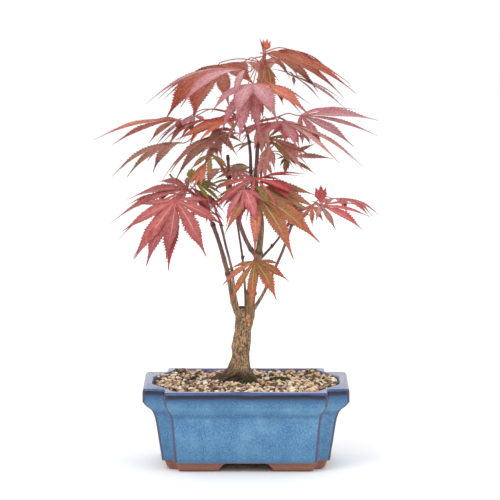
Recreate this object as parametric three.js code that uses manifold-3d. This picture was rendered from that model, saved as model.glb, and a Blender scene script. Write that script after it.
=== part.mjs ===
// A young Japanese maple grown as a bonsai in a glazed pot with indented corners, in millimetres.
// +Z is up, +X is to the right and +Y is away from the front of the pot. The pot stands on z = 0.
// The plant is a short trunk, the boughs that leave its fork, and masses of foliage on their tips.
import * as THREE from "three";
import { mergeVertices } from "three/addons/utils/BufferGeometryUtils.js";
import Module from "manifold-3d";

const wasm = await Module();
wasm.setup();

const GAP = 0.3; // between pieces that touch
const DEG = Math.PI / 180;
const SAME = 1e-4; // corners nearer than this are one
const SLIVER = 0.02; // faces thinner than this, which the joins leave, are merged

// The tree spreads further to the left and to the front than the pot, which stands this far from the
// middle of the whole, to the right and to the back.
const POT_RIGHT_OF_MIDDLE = 6.5;
const POT_BEHIND_MIDDLE = 2.4;

const POT = {
  halfWidth: 90.5,
  halfDepth: 69,
  height: 73.5,
  footHeight: 8.3,
  baseInset: 16.6, // how far the wall has drawn in where it meets the foot
  notchWidth: [19.5, 11.6], // the indented corner along X, at the lip and at the base
  notchDepth: [22, 14], // the same along Y
  cornerSteps: 2, // facets round each edge of an indented corner
  outerEdge: 3, // radius of the upright edges that stand out
  innerEdge: 5, // and of those that lie in
  lipRound: [[2.2, 0], [0.6, 0.8], [0, 2.6]], // below the top, and in from the lip
  floorTop: 15,
  wall: 8,
};
// The wall from the lip down: height, and how far it stands in from the lip.
const POT_WALL = [
  [61.6, 0],
  [57.5, 3.2],
  [53.6, 7.7],
  [48.3, 10.2],
  [40.3, 11.9],
  [25.7, 14.1],
  [POT.footHeight + 1, POT.baseInset],
];
const FOOT = {
  topInset: 19.2,
  bottomInset: 21.1,
  soleInset: 24.5, // the sole is rounded in from the side of the foot
  soleBevel: 2.5,
  ringWidth: 15,
  frontCut: [38, 56], // the opening between the feet, at its top and at the sole
  sideCut: [22, 36],
};
const DRAIN_HOLE = { radius: 7, fromMiddle: 30, sides: 16 };
const SOIL = {
  edge: 70.3,
  top: 74.6,
  edgeInset: 0.6,
  level: 0.45, // share of the way out to where it starts to fall to the edge
  seat: 30, // round the trunk, where it has no mounds
  pitch: 17, // between the mounds that the coarse grains lie in
  dip: 1.1, // of the hollows between mounds below the even surface
  rise: [0.7, 1.8], // of their tops above it
  seed: 5,
};

const BARK = { color: 0x8a6a48, roughness: 0.9 };
const TWIG = { color: 0x5c3436, roughness: 0.7 };

// Trunk rings: height, middle along X, radius, and how much of the root flare and the burl show there.
const TRUNK_RINGS = [
  { z: SOIL.top + GAP, x: -5, radius: 8.6, flare: 1, burl: 0 },
  { z: 76.4, x: -5, radius: 8.4, flare: 0.84, burl: 0.4 },
  { z: 79.5, x: -5, radius: 8.1, flare: 0.5, burl: 0.9 },
  { z: 84.5, x: -5, radius: 7.9, flare: 0.2, burl: 1 },
  { z: 91, x: -5, radius: 7.7, flare: 0.04, burl: 0.3 },
  { z: 97, x: -5, radius: 7.9, flare: 0, burl: 0 },
  { z: 104, x: -4.8, radius: 8.3, flare: 0, burl: 0 },
  { z: 111, x: -4, radius: 7.9, flare: 0, burl: 0 },
  { z: 118, x: -3, radius: 7.5, flare: 0, burl: 0 },
  { z: 125, x: -2, radius: 7.9, flare: 0, burl: 0 },
  { z: 130, x: -1.3, radius: 8.3, flare: 0, burl: 0 },
  { z: 133, x: -2, radius: 6.4, flare: 0, burl: 0 },
  { z: 136, x: -3.9, radius: 3.7, flare: 0, burl: 0 },
  { z: 139, x: -4.1, radius: 3.3, flare: 0, burl: 0 },
];
// Roots that run out over the soil: bearing in degrees and reach past the trunk.
const ROOTS = [
  { bearing: 182, reach: 20 },
  { bearing: -66, reach: 15 },
  { bearing: -118, reach: 7 },
  { bearing: 12, reach: 7 },
  { bearing: 98, reach: 12 },
];
const ROOT_SHARPNESS = 18;
const BURL = { bearing: -80, reach: 3, sharpness: 4 };
const UNEVEN = { by: 0.35, waves: 3, turnPerHeight: 0.07 };
const TRUNK_SIDES = 26;

// Boughs from the fork up, each along a smooth curve, with its radius at the foot and at the tip.
const BOUGHS = [
  {
    name: "bough_leader",
    path: [[3, 0, 129], [4, 0, 149], [8, 0, 169], [12, 0, 193], [13.5, 0, 215], [11, 0, 231], [9, 0, 241]],
    radii: [4.7, 4.4, 3.4, 3, 2.7, 2.3, 2.2],
    sides: 8,
  },
  {
    name: "bough_upright_middle",
    path: [[9, 0, 241.6], [9, 0, 255], [10, 0, 282], [10, 0, 295], [7.5, 0, 309]],
    radii: [1.9, 1.9, 1.7, 1.5, 1.4],
    sides: 7,
  },
  {
    name: "bough_upright_left",
    path: [[8, 1, 234], [4.6, 3, 254], [3.6, 4, 277], [1, 2, 293], [-3, 0, 303]],
    radii: [1.7, 1.6, 1.4, 1.2, 1],
    sides: 7,
  },
  {
    name: "bough_upright_right",
    path: [[11, -1, 234], [13.6, -4, 248], [13.2, -5, 258], [14.6, -5, 267]],
    radii: [1.2, 1.1, 1.1, 0.9],
    sides: 6,
  },
  {
    name: "bough_left_outer",
    path: [[-6, 1, 129], [-11, 2, 142], [-13.4, 2, 155], [-17, 2, 172], [-24, 2, 197], [-30, 2, 214]],
    radii: [2.7, 2.4, 2.1, 2.1, 1.8, 1.9],
    sides: 8,
  },
  {
    name: "bough_left_inner",
    path: [[-5, -4, 130], [-9.6, -5, 151], [-12.6, -5, 173], [-18, -5, 195], [-22.6, -5, 215]],
    radii: [1.3, 1.2, 1.1, 1.1, 1.2],
    sides: 6,
  },
  {
    name: "bough_rear",
    path: [[0, 5, 130], [-1, 9, 156], [-3, 12, 180], [-6, 10, 201], [-8, 8, 215]],
    radii: [1.2, 1.1, 1, 1, 0.9],
    sides: 6,
  },
  {
    name: "bough_left_curve",
    path: [[11, 0, 181], [3, -4, 193], [-3.6, -7, 208], [-8.6, -7, 228], [-14, -4, 249], [-16, -3, 274]],
    radii: [2, 1.9, 1.7, 1.5, 1.4, 1.3],
    sides: 7,
  },
  {
    name: "bough_right_outer",
    path: [[5, -1, 134], [15, -4, 151], [25, -6, 173], [33, -8, 192], [41, -10, 216]],
    radii: [1.7, 1.4, 1.3, 1.2, 1.3],
    sides: 6,
  },
  {
    name: "bough_right_inner",
    path: [[11, 1, 180], [19, 4, 188], [28, 8, 198], [38, 12, 212]],
    radii: [1.3, 1.1, 1, 1.1],
    sides: 6,
  },
];

const LEAF = {
  lobeStep: 35, // degrees between neighbouring lobes of a leaf that lies open
  lobeLengths: [1, 0.93, 0.74, 0.46], // from the middle lobe outwards
  sinus: 0.2, // where two lobes part, as a share of their length
  widest: 0.47,
  neck: 0.78, // where the lobe has narrowed to its drawn-out tip
  halfWidth: 0.115,
  neckShare: 0.3, // of the widest half-width
  fold: 0.18, // the blade rises either side of its midrib by this share of its half-width
  heel: 0.05, // the blade behind the petiole
  thinnest: 0.8,
  thickness: 0.012, // of the leaf's length
  thinning: 0.8, // of the thickness, at the neck
  apart: 0.4, // of the way to the next lobe is the most that a lobe is wide either side
  steepest: 85, // degrees below level, which a lobe doesn't bend past
};
const PETIOLE = {
  radius: 0.8,
  rise: 0.12, // of its length, halfway along
  behind: 0.06, // of the leaf's length, where it comes under the blade
  past: 0.04, // of the leaf's length, how far it runs on under the middle lobe
  under: 0.1,
  sides: 3,
  steps: 4,
};
const STEM_SIDES = 6;
const STEM_END = 0.97; // the last leaf leaves its stem just before the stem's tip
const SHORT_LEAF = 75; // a leaf below this length has plain pointed lobes

// The side that is turned away grows its leaves by a seeded rule, between these values.
const HIDDEN = {
  seed: 11,
  tries: 300,
  at: [0.25, 1],
  bearing: [-55, 55], // of the petiole from the mass's way out
  wayBack: 45, // the way out runs this far back for as far as the stem's tip stands to the side
  petiole: [20, 42],
  rise: [-6, 10],
  turn: [-20, 20], // of the middle lobe from the petiole's bearing
  slope: [-20, 2],
  length: [42, 56],
  sag: [30, 55],
  lobes: 7,
  clear: 7.5, // from the limbs and from other masses
  apart: 24, // between the hubs of two leaves
  cover: 7, // seen from the front, a leaf in front lies within this of each of its points
  furthest: 98, // as far back as the front leaves reach forward
  look: 0.128, // the slope at which the front is seen from above
};

// Foliage masses. A stem runs on from a bough. Each leaf is: where its petiole leaves the stem, from
// foot 0 to tip 1; the place of its hub; the bearing, slope and roll of its middle lobe in degrees,
// with bearing 0 to the right and 90 away; that lobe's length; how far the lobes bend down by their
// tips; how far they spread, 1 being open; and the number of lobes.
const MASSES = [
  {
    name: "foliage_top",
    color: 0xb0586a,
    stem: [[7.4, 0, 309.4], [9, -2, 326], [12, 0, 346], [16, 0, 362], [15.4, 0, 368]],
    radii: [1.4, 1.2, 1.1, 1.2, 0.9],
    hidden: 4,
    leaves: [
      { at: 0.9, hub: [18, 0, 363], aim: [0, -4, -30], length: 92, sag: 44, spread: 0.5, lobes: 7 },
      { at: 0.9, hub: [0, -8, 349], aim: [180, -3, 8], length: 95, sag: 32, spread: 1, lobes: 5 },
      { at: 0.8, hub: [-23, 12, 351], aim: [119, -38, -8], length: 72, sag: 16, spread: 0.85, lobes: 7 },
      { at: 0.9, hub: [5, -30, 339], aim: [-68, -4, 0], length: 72, sag: 34, spread: 1, lobes: 7 },
      { at: 0.8, hub: [42, 22, 341], aim: [16, -20, 0], length: 60, sag: 22, spread: 1, lobes: 7 },
      { at: 0.92, hub: [17, 3, 358], aim: [88, -70, 0], length: 44, sag: 10, spread: 0.35, lobes: 3 },
      { at: 1, hub: [14, -1, 366], aim: [160, 72, 0], length: 11, sag: 0, spread: 0.5, lobes: 3 },
      { at: 1, hub: [16, 1, 366], aim: [20, 80, 0], length: 10, sag: 0, spread: 0.5, lobes: 3 },
    ],
  },
  {
    name: "foliage_upper_right",
    color: 0xc4636e,
    stem: [[9.8, -1.6, 303], [17, -6, 305], [25, -10, 307]],
    radii: [1.1, 1, 0.9],
    hidden: 2,
    leaves: [
      { at: 1, hub: [46, -5, 309], aim: [-2, -1, 18], length: 76, sag: 26, spread: 0.9, lobes: 7 },
      { at: 1, hub: [32, -34, 307], aim: [-29, -16, -12], length: 82, sag: 24, spread: 0.9, lobes: 7 },
      { at: 1, hub: [31, -30, 308], aim: [192, -10, -30], length: 46, sag: 40, spread: 0.5, lobes: 3 },
    ],
  },
  {
    name: "foliage_upper_left",
    color: 0xc0604c,
    stem: [[-3.2, 0, 303.6], [-8, -2, 308], [-12, -2, 311]],
    radii: [1, 0.9, 0.8],
    hidden: 3,
    leaves: [
      { at: 0.5, hub: [-4, -16, 306], aim: [182, 4, -12], length: 62, sag: 46, spread: 0.9, lobes: 5 },
      { at: 0.4, hub: [-6, -6, 296], aim: [184, -6, 14], length: 86, sag: 55, spread: 0.6, lobes: 5 },
      { at: 1, hub: [-60, 0, 306], aim: [180, 0, 14], length: 76, sag: 28, spread: 0.8, lobes: 7 },
      { at: 1, hub: [-46, 28, 305], aim: [196, -22, 0], length: 48, sag: 30, spread: 1, lobes: 7 },
      { at: 0.7, hub: [-57, 16, 283], aim: [182, -2, 14], length: 70, sag: 48, spread: 0.75, lobes: 5 },
    ],
  },
  {
    name: "foliage_middle_left",
    color: 0x8c5048,
    stem: [[-17.6, -3, 258], [-22, -6, 265], [-27, -12, 272]],
    radii: [0.9, 0.9, 0.8],
    hidden: 1,
    leaves: [
      { at: 1, hub: [-31, -18, 276], aim: [-96, -60, 0], length: 24, sag: 15, spread: 1.6, lobes: 3 },
    ],
  },
  {
    name: "foliage_middle_right",
    color: 0x8f7440,
    stem: [[14.8, -5, 267.6], [18, -7, 276], [19, -9, 284]],
    radii: [0.9, 0.8, 0.8],
    hidden: 1,
    leaves: [
      { at: 1, hub: [19, -15, 290], aim: [-6, -16, 38], length: 42, sag: 12, spread: 1, lobes: 5 },
      { at: 0.3, hub: [36, 8, 271], aim: [0, 2, 24], length: 41, sag: 8, spread: 1.35, lobes: 5 },
      { at: 0.6, hub: [47, 28, 288], aim: [40, 10, 0], length: 18, sag: 100, spread: 1, lobes: 3 },
    ],
  },
  {
    name: "foliage_lower_left",
    color: 0xbf5058,
    stem: [[-30.4, 2, 214.8], [-38, 0, 227], [-48, -3, 241], [-58, -3, 246], [-67, -3, 257]],
    radii: [1.5, 1.3, 1.2, 1.1, 0.9],
    hidden: 2,
    leaves: [
      { at: 0.7, hub: [-51, -5, 247], aim: [186, -12, -10], length: 78, sag: 18, spread: 0.85, lobes: 7 },
      { at: 0.55, hub: [-59, -30, 238], aim: [-98, -44, 0], length: 72, sag: 18, spread: 0.92, lobes: 7 },
      { at: 0.75, hub: [-49, 0, 251], aim: [70, 70, 0], length: 12, sag: 0, spread: 0.4, lobes: 3 },
      { at: 0.6, hub: [-46, -7, 247], aim: [18, 32, -40], length: 17, sag: 10, spread: 0.4, lobes: 3 },
      { at: 0.7, hub: [-50, -11, 244], aim: [-22, -36, 0], length: 36, sag: 10, spread: 0.5, lobes: 3 },
    ],
  },
  {
    name: "foliage_centre",
    color: 0xb84e4c,
    stem: [[-8.2, 8, 215.6], [-9, 1, 229], [-5, -22, 240], [0, -34, 244]],
    radii: [0.9, 0.9, 0.8, 0.8],
    hidden: 0,
    leaves: [
      { at: 0.8, hub: [9, -40, 256], aim: [-100, 6, 0], length: 56, sag: 40, spread: 1.1, lobes: 7 },
      { at: 1, hub: [-3, -58, 243], aim: [-92, -30, 0], length: 36, sag: 40, spread: 1, lobes: 5 },
      { at: 1, hub: [6, -48, 247], aim: [-48, -38, 0], length: 77, sag: 22, spread: 0.88, lobes: 5 },
      { at: 0.8, hub: [10, -37, 257], aim: [6, 16, 0], length: 44, sag: 24, spread: 0.5, lobes: 3 },
    ],
  },
  {
    name: "foliage_right",
    color: 0xc05a50,
    stem: [[41.2, -10, 216.6], [47, -8, 224], [57, -6, 229]],
    radii: [1, 0.9, 0.8],
    hidden: 1,
    leaves: [
      { at: 1, hub: [65, -5, 231], aim: [-8, -8, 14], length: 54, sag: 14, spread: 1, lobes: 7 },
      { at: 1, hub: [65, -4, 232], aim: [80, 72, 0], length: 17, sag: 0, spread: 0.6, lobes: 3 },
    ],
  },
  {
    name: "foliage_right_rear",
    color: 0xb65a4c,
    stem: [[38.2, 12.4, 212.4], [39, 20, 222], [41, 30, 230]],
    radii: [0.9, 0.8, 0.8],
    hidden: 2,
    leaves: [],
  },
  {
    name: "foliage_rear",
    color: 0x9a5a44,
    stem: [[13.4, 3.2, 214], [12, 16, 228], [10, 32, 240]],
    radii: [0.9, 0.8, 0.8],
    hidden: 2,
    leaves: [
      { at: 0.7, hub: [4, 15, 261], aim: [184, -4, 25], length: 40, sag: 14, spread: 0.6, lobes: 5 },
    ],
  },
  {
    name: "foliage_left_inner",
    color: 0x97703e,
    stem: [[-22.8, -5, 215.6], [-26, -1, 222], [-28, 10, 230]],
    radii: [1, 0.8, 0.8],
    hidden: 2,
    leaves: [],
  },
  {
    name: "foliage_low_front",
    color: 0xa05a34,
    stem: [[9.6, -2.8, 186], [8.6, -14, 187], [7.4, -22, 186]],
    radii: [0.8, 0.8, 0.8],
    hidden: 0,
    leaves: [
      { at: 1, hub: [7, -25, 182], aim: [-92, -52, 0], length: 46, sag: 10, spread: 0.82, lobes: 7 },
    ],
  },
];

const vec = (p) => new THREE.Vector3(...p);
const smooth = (path) => new THREE.CatmullRomCurve3(path.map(vec), false, "centripetal");

// Geometry with only its shared corners left, as the booleans need it.
function shared(geometry) {
  const bare = geometry.clone();
  bare.deleteAttribute("normal");
  bare.deleteAttribute("uv");
  return mergeVertices(bare, SAME);
}

function solid(geometry) {
  const merged = shared(geometry);
  return new wasm.Manifold(
    new wasm.Mesh({
      numProp: 3,
      vertProperties: new Float32Array(merged.attributes.position.array),
      triVerts: new Uint32Array(merged.index.array),
    }),
  );
}

const fused = (solids) => solids.reduce((whole, piece) => whole.add(piece));

// The largest body of a solid, without the scraps that a cut can leave.
function largest(cut) {
  return cut.decompose().reduce((best, body) => (body.volume() > best.volume() ? body : best));
}

function mesh(name, made, look) {
  const { vertProperties, triVerts } = made.getMesh();
  const geometry = new THREE.BufferGeometry();
  geometry.setAttribute("position", new THREE.Float32BufferAttribute(vertProperties, 3));
  geometry.setIndex(new THREE.Uint32BufferAttribute(triVerts, 1));
  geometry.computeVertexNormals();
  const result = new THREE.Mesh(geometry, new THREE.MeshStandardMaterial(look));
  result.name = name;
  return result;
}

// A closed solid through rings of equally many points, the lowest first, each anticlockwise from above.
function loft(rings) {
  const count = rings[0].length;
  const last = (rings.length - 1) * count;
  const index = [];
  for (let r = 0; r < last; r += count) {
    for (let i = 0; i < count; i++) {
      const next = (i + 1) % count;
      index.push(r + i, r + next, r + count + next, r + i, r + count + next, r + count + i);
    }
  }
  const outline = (ring) => ring.map((p) => new THREE.Vector2(p.x, p.y));
  for (const [a, b, c] of THREE.ShapeUtils.triangulateShape(outline(rings[0]), [])) index.push(a, c, b);
  for (const [a, b, c] of THREE.ShapeUtils.triangulateShape(outline(rings.at(-1)), [])) {
    index.push(last + a, last + b, last + c);
  }
  const positions = rings.flat().flatMap((p) => [p.x, p.y, p.z]);
  const geometry = new THREE.BufferGeometry();
  geometry.setAttribute("position", new THREE.Float32BufferAttribute(positions, 3));
  geometry.setIndex(index);
  return geometry;
}

// A quarter of an outline mirrored to all four, from the middle of the right side anticlockwise.
function fourFold(quarter, z) {
  const turned = [...quarter].reverse();
  return [
    ...quarter.map(([x, y]) => [x, y]),
    ...turned.map(([x, y]) => [-x, y]),
    ...quarter.map(([x, y]) => [-x, -y]),
    ...turned.map(([x, y]) => [x, -y]),
  ].map(([x, y]) => new THREE.Vector3(x, y, z));
}

// Points on a quarter circle about a middle, from one bearing to another.
function arc(x, y, radius, from, to, steps) {
  return Array.from({ length: steps + 1 }, (_, i) => {
    const angle = (from + ((to - from) * i) / steps) * DEG;
    return [x + radius * Math.cos(angle), y + radius * Math.sin(angle)];
  });
}

// The pot's outline with its indented corners, drawn in from the lip by an inset.
function potOutline(z, inset) {
  const share = inset / POT.baseInset;
  const w = POT.halfWidth - inset;
  const d = POT.halfDepth - inset;
  const nx = THREE.MathUtils.lerp(...POT.notchWidth, share);
  const ny = THREE.MathUtils.lerp(...POT.notchDepth, share);
  const { outerEdge, innerEdge, cornerSteps } = POT;
  return fourFold(
    [
      ...arc(w - outerEdge, d - ny - outerEdge, outerEdge, 0, 90, cornerSteps),
      ...arc(w - nx + innerEdge, d - ny + innerEdge, innerEdge, 270, 180, cornerSteps),
      ...arc(w - nx - outerEdge, d - outerEdge, outerEdge, 0, 90, cornerSteps),
    ],
    z,
  );
}

// How much of each side the inside keeps before its cut corners, and how it narrows with the wall.
const INSIDE = { sideShare: 0.43, frontShare: 0.86, narrowing: 0.7 };

// The inside of the pot, with plain cut corners that keep the wall clear of the indents.
function hollowOutline(z, inset, clear = 0) {
  const share = inset / POT.baseInset;
  const w = POT.halfWidth - inset - POT.wall - clear;
  const d = POT.halfDepth - inset - POT.wall - clear;
  const { sideShare, frontShare, narrowing } = INSIDE;
  const sideEnd = sideShare * (POT.halfDepth - THREE.MathUtils.lerp(...POT.notchDepth, share)) - clear;
  const frontEnd = frontShare * (POT.halfWidth - THREE.MathUtils.lerp(...POT.notchWidth, share)) - clear;
  return fourFold([[w, sideEnd], [frontEnd - inset * narrowing, d]], z);
}

const HOLLOW = [
  [POT.floorTop, 15.2],
  [25.8, 14.1],
  [40.3, 11.9],
  [48.6, 10],
  [59, 4],
  [68.3, 1],
  [POT.height, 0],
];

// The opening between two feet, as long as the pot is across.
function footOpening([top, sole], across) {
  const shape = new THREE.Shape([
    new THREE.Vector2(-sole / 2, -1),
    new THREE.Vector2(sole / 2, -1),
    new THREE.Vector2(top / 2, POT.footHeight),
    new THREE.Vector2(-top / 2, POT.footHeight),
  ]);
  return new THREE.ExtrudeGeometry(shape, { depth: 2 * across, steps: 1, bevelEnabled: false })
    .translate(0, 0, -across)
    .rotateX(90 * DEG);
}

function pot() {
  const top = POT.height;
  const outside = loft([
    potOutline(0, FOOT.soleInset),
    potOutline(FOOT.soleBevel, FOOT.bottomInset),
    potOutline(POT.footHeight, FOOT.topInset),
    ...[...POT_WALL].reverse().map(([z, inset]) => potOutline(z, inset)),
    ...POT.lipRound.map(([below, inset]) => potOutline(top - below, inset)),
  ]);
  const hollow = loft(HOLLOW.map(([z, inset]) => hollowOutline(z === top ? z + 1 : z, inset)));
  const ringInset = FOOT.topInset + FOOT.ringWidth - POT.wall;
  const under = loft([-1, POT.footHeight].map((z) => hollowOutline(z, ringInset)));
  const holes = [-1, 1].map((side) =>
    new THREE.CylinderGeometry(DRAIN_HOLE.radius, DRAIN_HOLE.radius, 2 * POT.floorTop, DRAIN_HOLE.sides)
      .rotateX(90 * DEG)
      .translate(side * DRAIN_HOLE.fromMiddle, 0, POT.floorTop),
  );
  const cuts = [
    hollow,
    under,
    footOpening(FOOT.frontCut, POT.halfDepth),
    footOpening(FOOT.sideCut, POT.halfWidth).rotateZ(90 * DEG),
    ...holes,
  ];
  return cuts.map(solid).reduce((whole, cut) => whole.subtract(cut), solid(outside));
}

// The soil's even surface at a place: level round the trunk and falling to the pot's wall.
function soilLevel(x, y) {
  const clear = POT.wall + SOIL.edgeInset;
  const out = Math.max(Math.abs(x) / (POT.halfWidth - clear), Math.abs(y) / (POT.halfDepth - clear));
  const climb = Math.min(1, Math.max(0, 1 - out) / (1 - SOIL.level));
  return THREE.MathUtils.lerp(SOIL.edge, SOIL.top, Math.sin(climb * 90 * DEG));
}

// A block whose top is the soil's surface, with a low mound in each square of a grid.
function mounds() {
  const columns = 2 * Math.ceil(POT.halfWidth / SOIL.pitch);
  const rows = 2 * Math.ceil(POT.halfDepth / SOIL.pitch);
  const draw = seeded(SOIL.seed);
  const spot = (column, row, by) => {
    const x = (column - columns / 2) * SOIL.pitch;
    const y = (row - rows / 2) * SOIL.pitch;
    const onSeat = Math.hypot(x - TRUNK_RINGS[0].x, y) < SOIL.seat;
    return [x, y, soilLevel(x, y) + (onSeat ? 0 : by)];
  };
  const points = [];
  const eachOf = (rowCount, columnCount, add) => {
    for (let r = 0; r < rowCount; r++) {
      for (let c = 0; c < columnCount; c++) points.push(add(c, r));
    }
  };
  eachOf(rows + 1, columns + 1, (c, r) => spot(c, r, -SOIL.dip));
  eachOf(rows, columns, (c, r) => spot(c + 0.5, r + 0.5, draw(SOIL.rise)));
  const under = points.length;
  eachOf(rows + 1, columns + 1, (c, r) => [...spot(c, r, 0).slice(0, 2), 0]);
  const corner = (c, r) => r * (columns + 1) + c;
  const middle = (c, r) => (rows + 1) * (columns + 1) + r * columns + c;
  const index = [];
  const side = (a, b) => index.push(a, under + a, under + b, a, under + b, b);
  for (let r = 0; r < rows; r++) {
    for (let c = 0; c < columns; c++) {
      const round = [corner(c, r), corner(c + 1, r), corner(c + 1, r + 1), corner(c, r + 1)];
      round.forEach((a, i) => index.push(a, round[(i + 1) % 4], middle(c, r)));
      index.push(under + round[0], under + round[2], under + round[1]);
      index.push(under + round[0], under + round[3], under + round[2]);
    }
  }
  for (let c = 0; c < columns; c++) {
    side(corner(c, 0), corner(c + 1, 0));
    side(corner(c + 1, rows), corner(c, rows));
  }
  for (let r = 0; r < rows; r++) {
    side(corner(columns, r), corner(columns, r + 1));
    side(corner(0, r + 1), corner(0, r));
  }
  const geometry = new THREE.BufferGeometry();
  geometry.setAttribute("position", new THREE.Float32BufferAttribute(points.flat(), 3));
  geometry.setIndex(index);
  return geometry;
}

// The soil fills the pot to below its rim, and its mounds leave a level seat at the foot of the trunk.
function soil() {
  const aboveMounds = SOIL.top + SOIL.pitch;
  const inPot = HOLLOW.map(([z, inset], i) => {
    const height = z === POT.height ? aboveMounds : i === 0 ? z + GAP : z;
    return hollowOutline(height, inset, GAP);
  });
  return solid(loft(inPot)).intersect(solid(mounds()));
}

// How strongly a ridge at one bearing shows at another, narrow for a large sharpness.
function ridge(angle, bearing, sharpness) {
  return Math.max(0, Math.cos(angle - bearing * DEG)) ** sharpness;
}

function trunk(grow = 0) {
  const rings = TRUNK_RINGS.map(({ z, x, radius, flare, burl }) =>
    Array.from({ length: TRUNK_SIDES }, (_, i) => {
      const angle = (i / TRUNK_SIDES) * 2 * Math.PI;
      const ridges = ROOTS.map(({ bearing, reach }) => reach * ridge(angle, bearing, ROOT_SHARPNESS));
      const roots = ridges.reduce((sum, rise) => sum + rise);
      const knot = BURL.reach * ridge(angle, BURL.bearing, BURL.sharpness);
      const uneven = UNEVEN.by * Math.sin(UNEVEN.waves * angle + UNEVEN.turnPerHeight * z);
      const r = radius + grow + uneven + flare * roots + burl * knot;
      return new THREE.Vector3(x + r * Math.cos(angle), r * Math.sin(angle), z);
    }),
  );
  rings[0].forEach((p) => (p.z -= grow));
  rings.at(-1).forEach((p) => (p.z += grow));
  return solid(loft(rings));
}

// A value along a list of equally spaced ones, from 0 at its start to 1 at its end.
function along(values, share) {
  const place = share * (values.length - 1);
  const i = Math.min(Math.floor(place), values.length - 2);
  return THREE.MathUtils.lerp(values[i], values[i + 1], place - i);
}

const LIMB_STEPS = 2; // for each point of the path

// A tapering limb: a closed cylinder bent along a smooth curve.
function limb({ path, radii, sides, steps = LIMB_STEPS * path.length }, grow = 0) {
  const curve = smooth(path);
  const { tangents, normals, binormals } = curve.computeFrenetFrames(steps);
  const geometry = new THREE.CylinderGeometry(1, 1, 1, sides, steps);
  const place = geometry.attributes.position;
  for (let i = 0; i < place.count; i++) {
    const share = place.getY(i) + 0.5;
    const k = Math.round(share * steps);
    const radius = along(radii, share) + grow;
    const stretch = grow * (2 * share - 1) * (k === 0 || k === steps ? 1 : 0);
    const p = curve
      .getPointAt(share)
      .addScaledVector(binormals[k], place.getX(i) * radius)
      .addScaledVector(normals[k], place.getZ(i) * radius)
      .addScaledVector(tangents[k], stretch);
    place.setXYZ(i, p.x, p.y, p.z);
  }
  return solid(geometry);
}

const LEAST_BEND = 0.01; // radians, so that a straight lobe is worked out as the others are

// The way a lobe runs out from the hub: it keeps its bearing and bends down evenly to its tip.
function lobePath(hub, direction, length, sag) {
  const level = new THREE.Vector3(direction.x, direction.y, 0).normalize();
  const slope = Math.asin(direction.z);
  const bend = Math.max(LEAST_BEND, Math.min(sag * DEG, slope + LEAF.steepest * DEG)) / length;
  return (distance) => {
    const now = slope - bend * distance;
    const out = (Math.sin(slope) - Math.sin(now)) / bend;
    const up = (Math.cos(now) - Math.cos(slope)) / bend;
    const point = hub.clone().addScaledVector(level, out);
    point.z += up;
    const tangent = level.clone().multiplyScalar(Math.cos(now));
    tangent.z += Math.sin(now);
    return { point, tangent };
  };
}

// The frame of a leaf: its middle lobe's way, its left side and its upper face.
function leafFrame([bearing, slope, roll]) {
  const turn = new THREE.Quaternion()
    .setFromAxisAngle(new THREE.Vector3(0, 0, 1), bearing * DEG)
    .multiply(new THREE.Quaternion().setFromAxisAngle(new THREE.Vector3(0, 1, 0), -slope * DEG))
    .multiply(new THREE.Quaternion().setFromAxisAngle(new THREE.Vector3(1, 0, 0), roll * DEG));
  return [vec([1, 0, 0]), vec([0, 1, 0]), vec([0, 0, 1])].map((v) => v.applyQuaternion(turn));
}

// The lobes of a leaf: how far each reaches, the side it is broad to, and its way from the hub.
function lobeWays({ hub, aim, length, sag, spread, lobes }) {
  const [ahead, left, face] = leafFrame(aim);
  const middle = (lobes - 1) / 2;
  return Array.from({ length: lobes }, (_, i) => {
    const angle = (i - middle) * LEAF.lobeStep * spread * DEG;
    const reach = length * LEAF.lobeLengths[Math.abs(i - middle)];
    const direction = ahead.clone().multiplyScalar(Math.cos(angle)).addScaledVector(left, Math.sin(angle));
    return { reach, side: face.clone().cross(direction), at: lobePath(vec(hub), direction, reach, sag) };
  });
}

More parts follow.
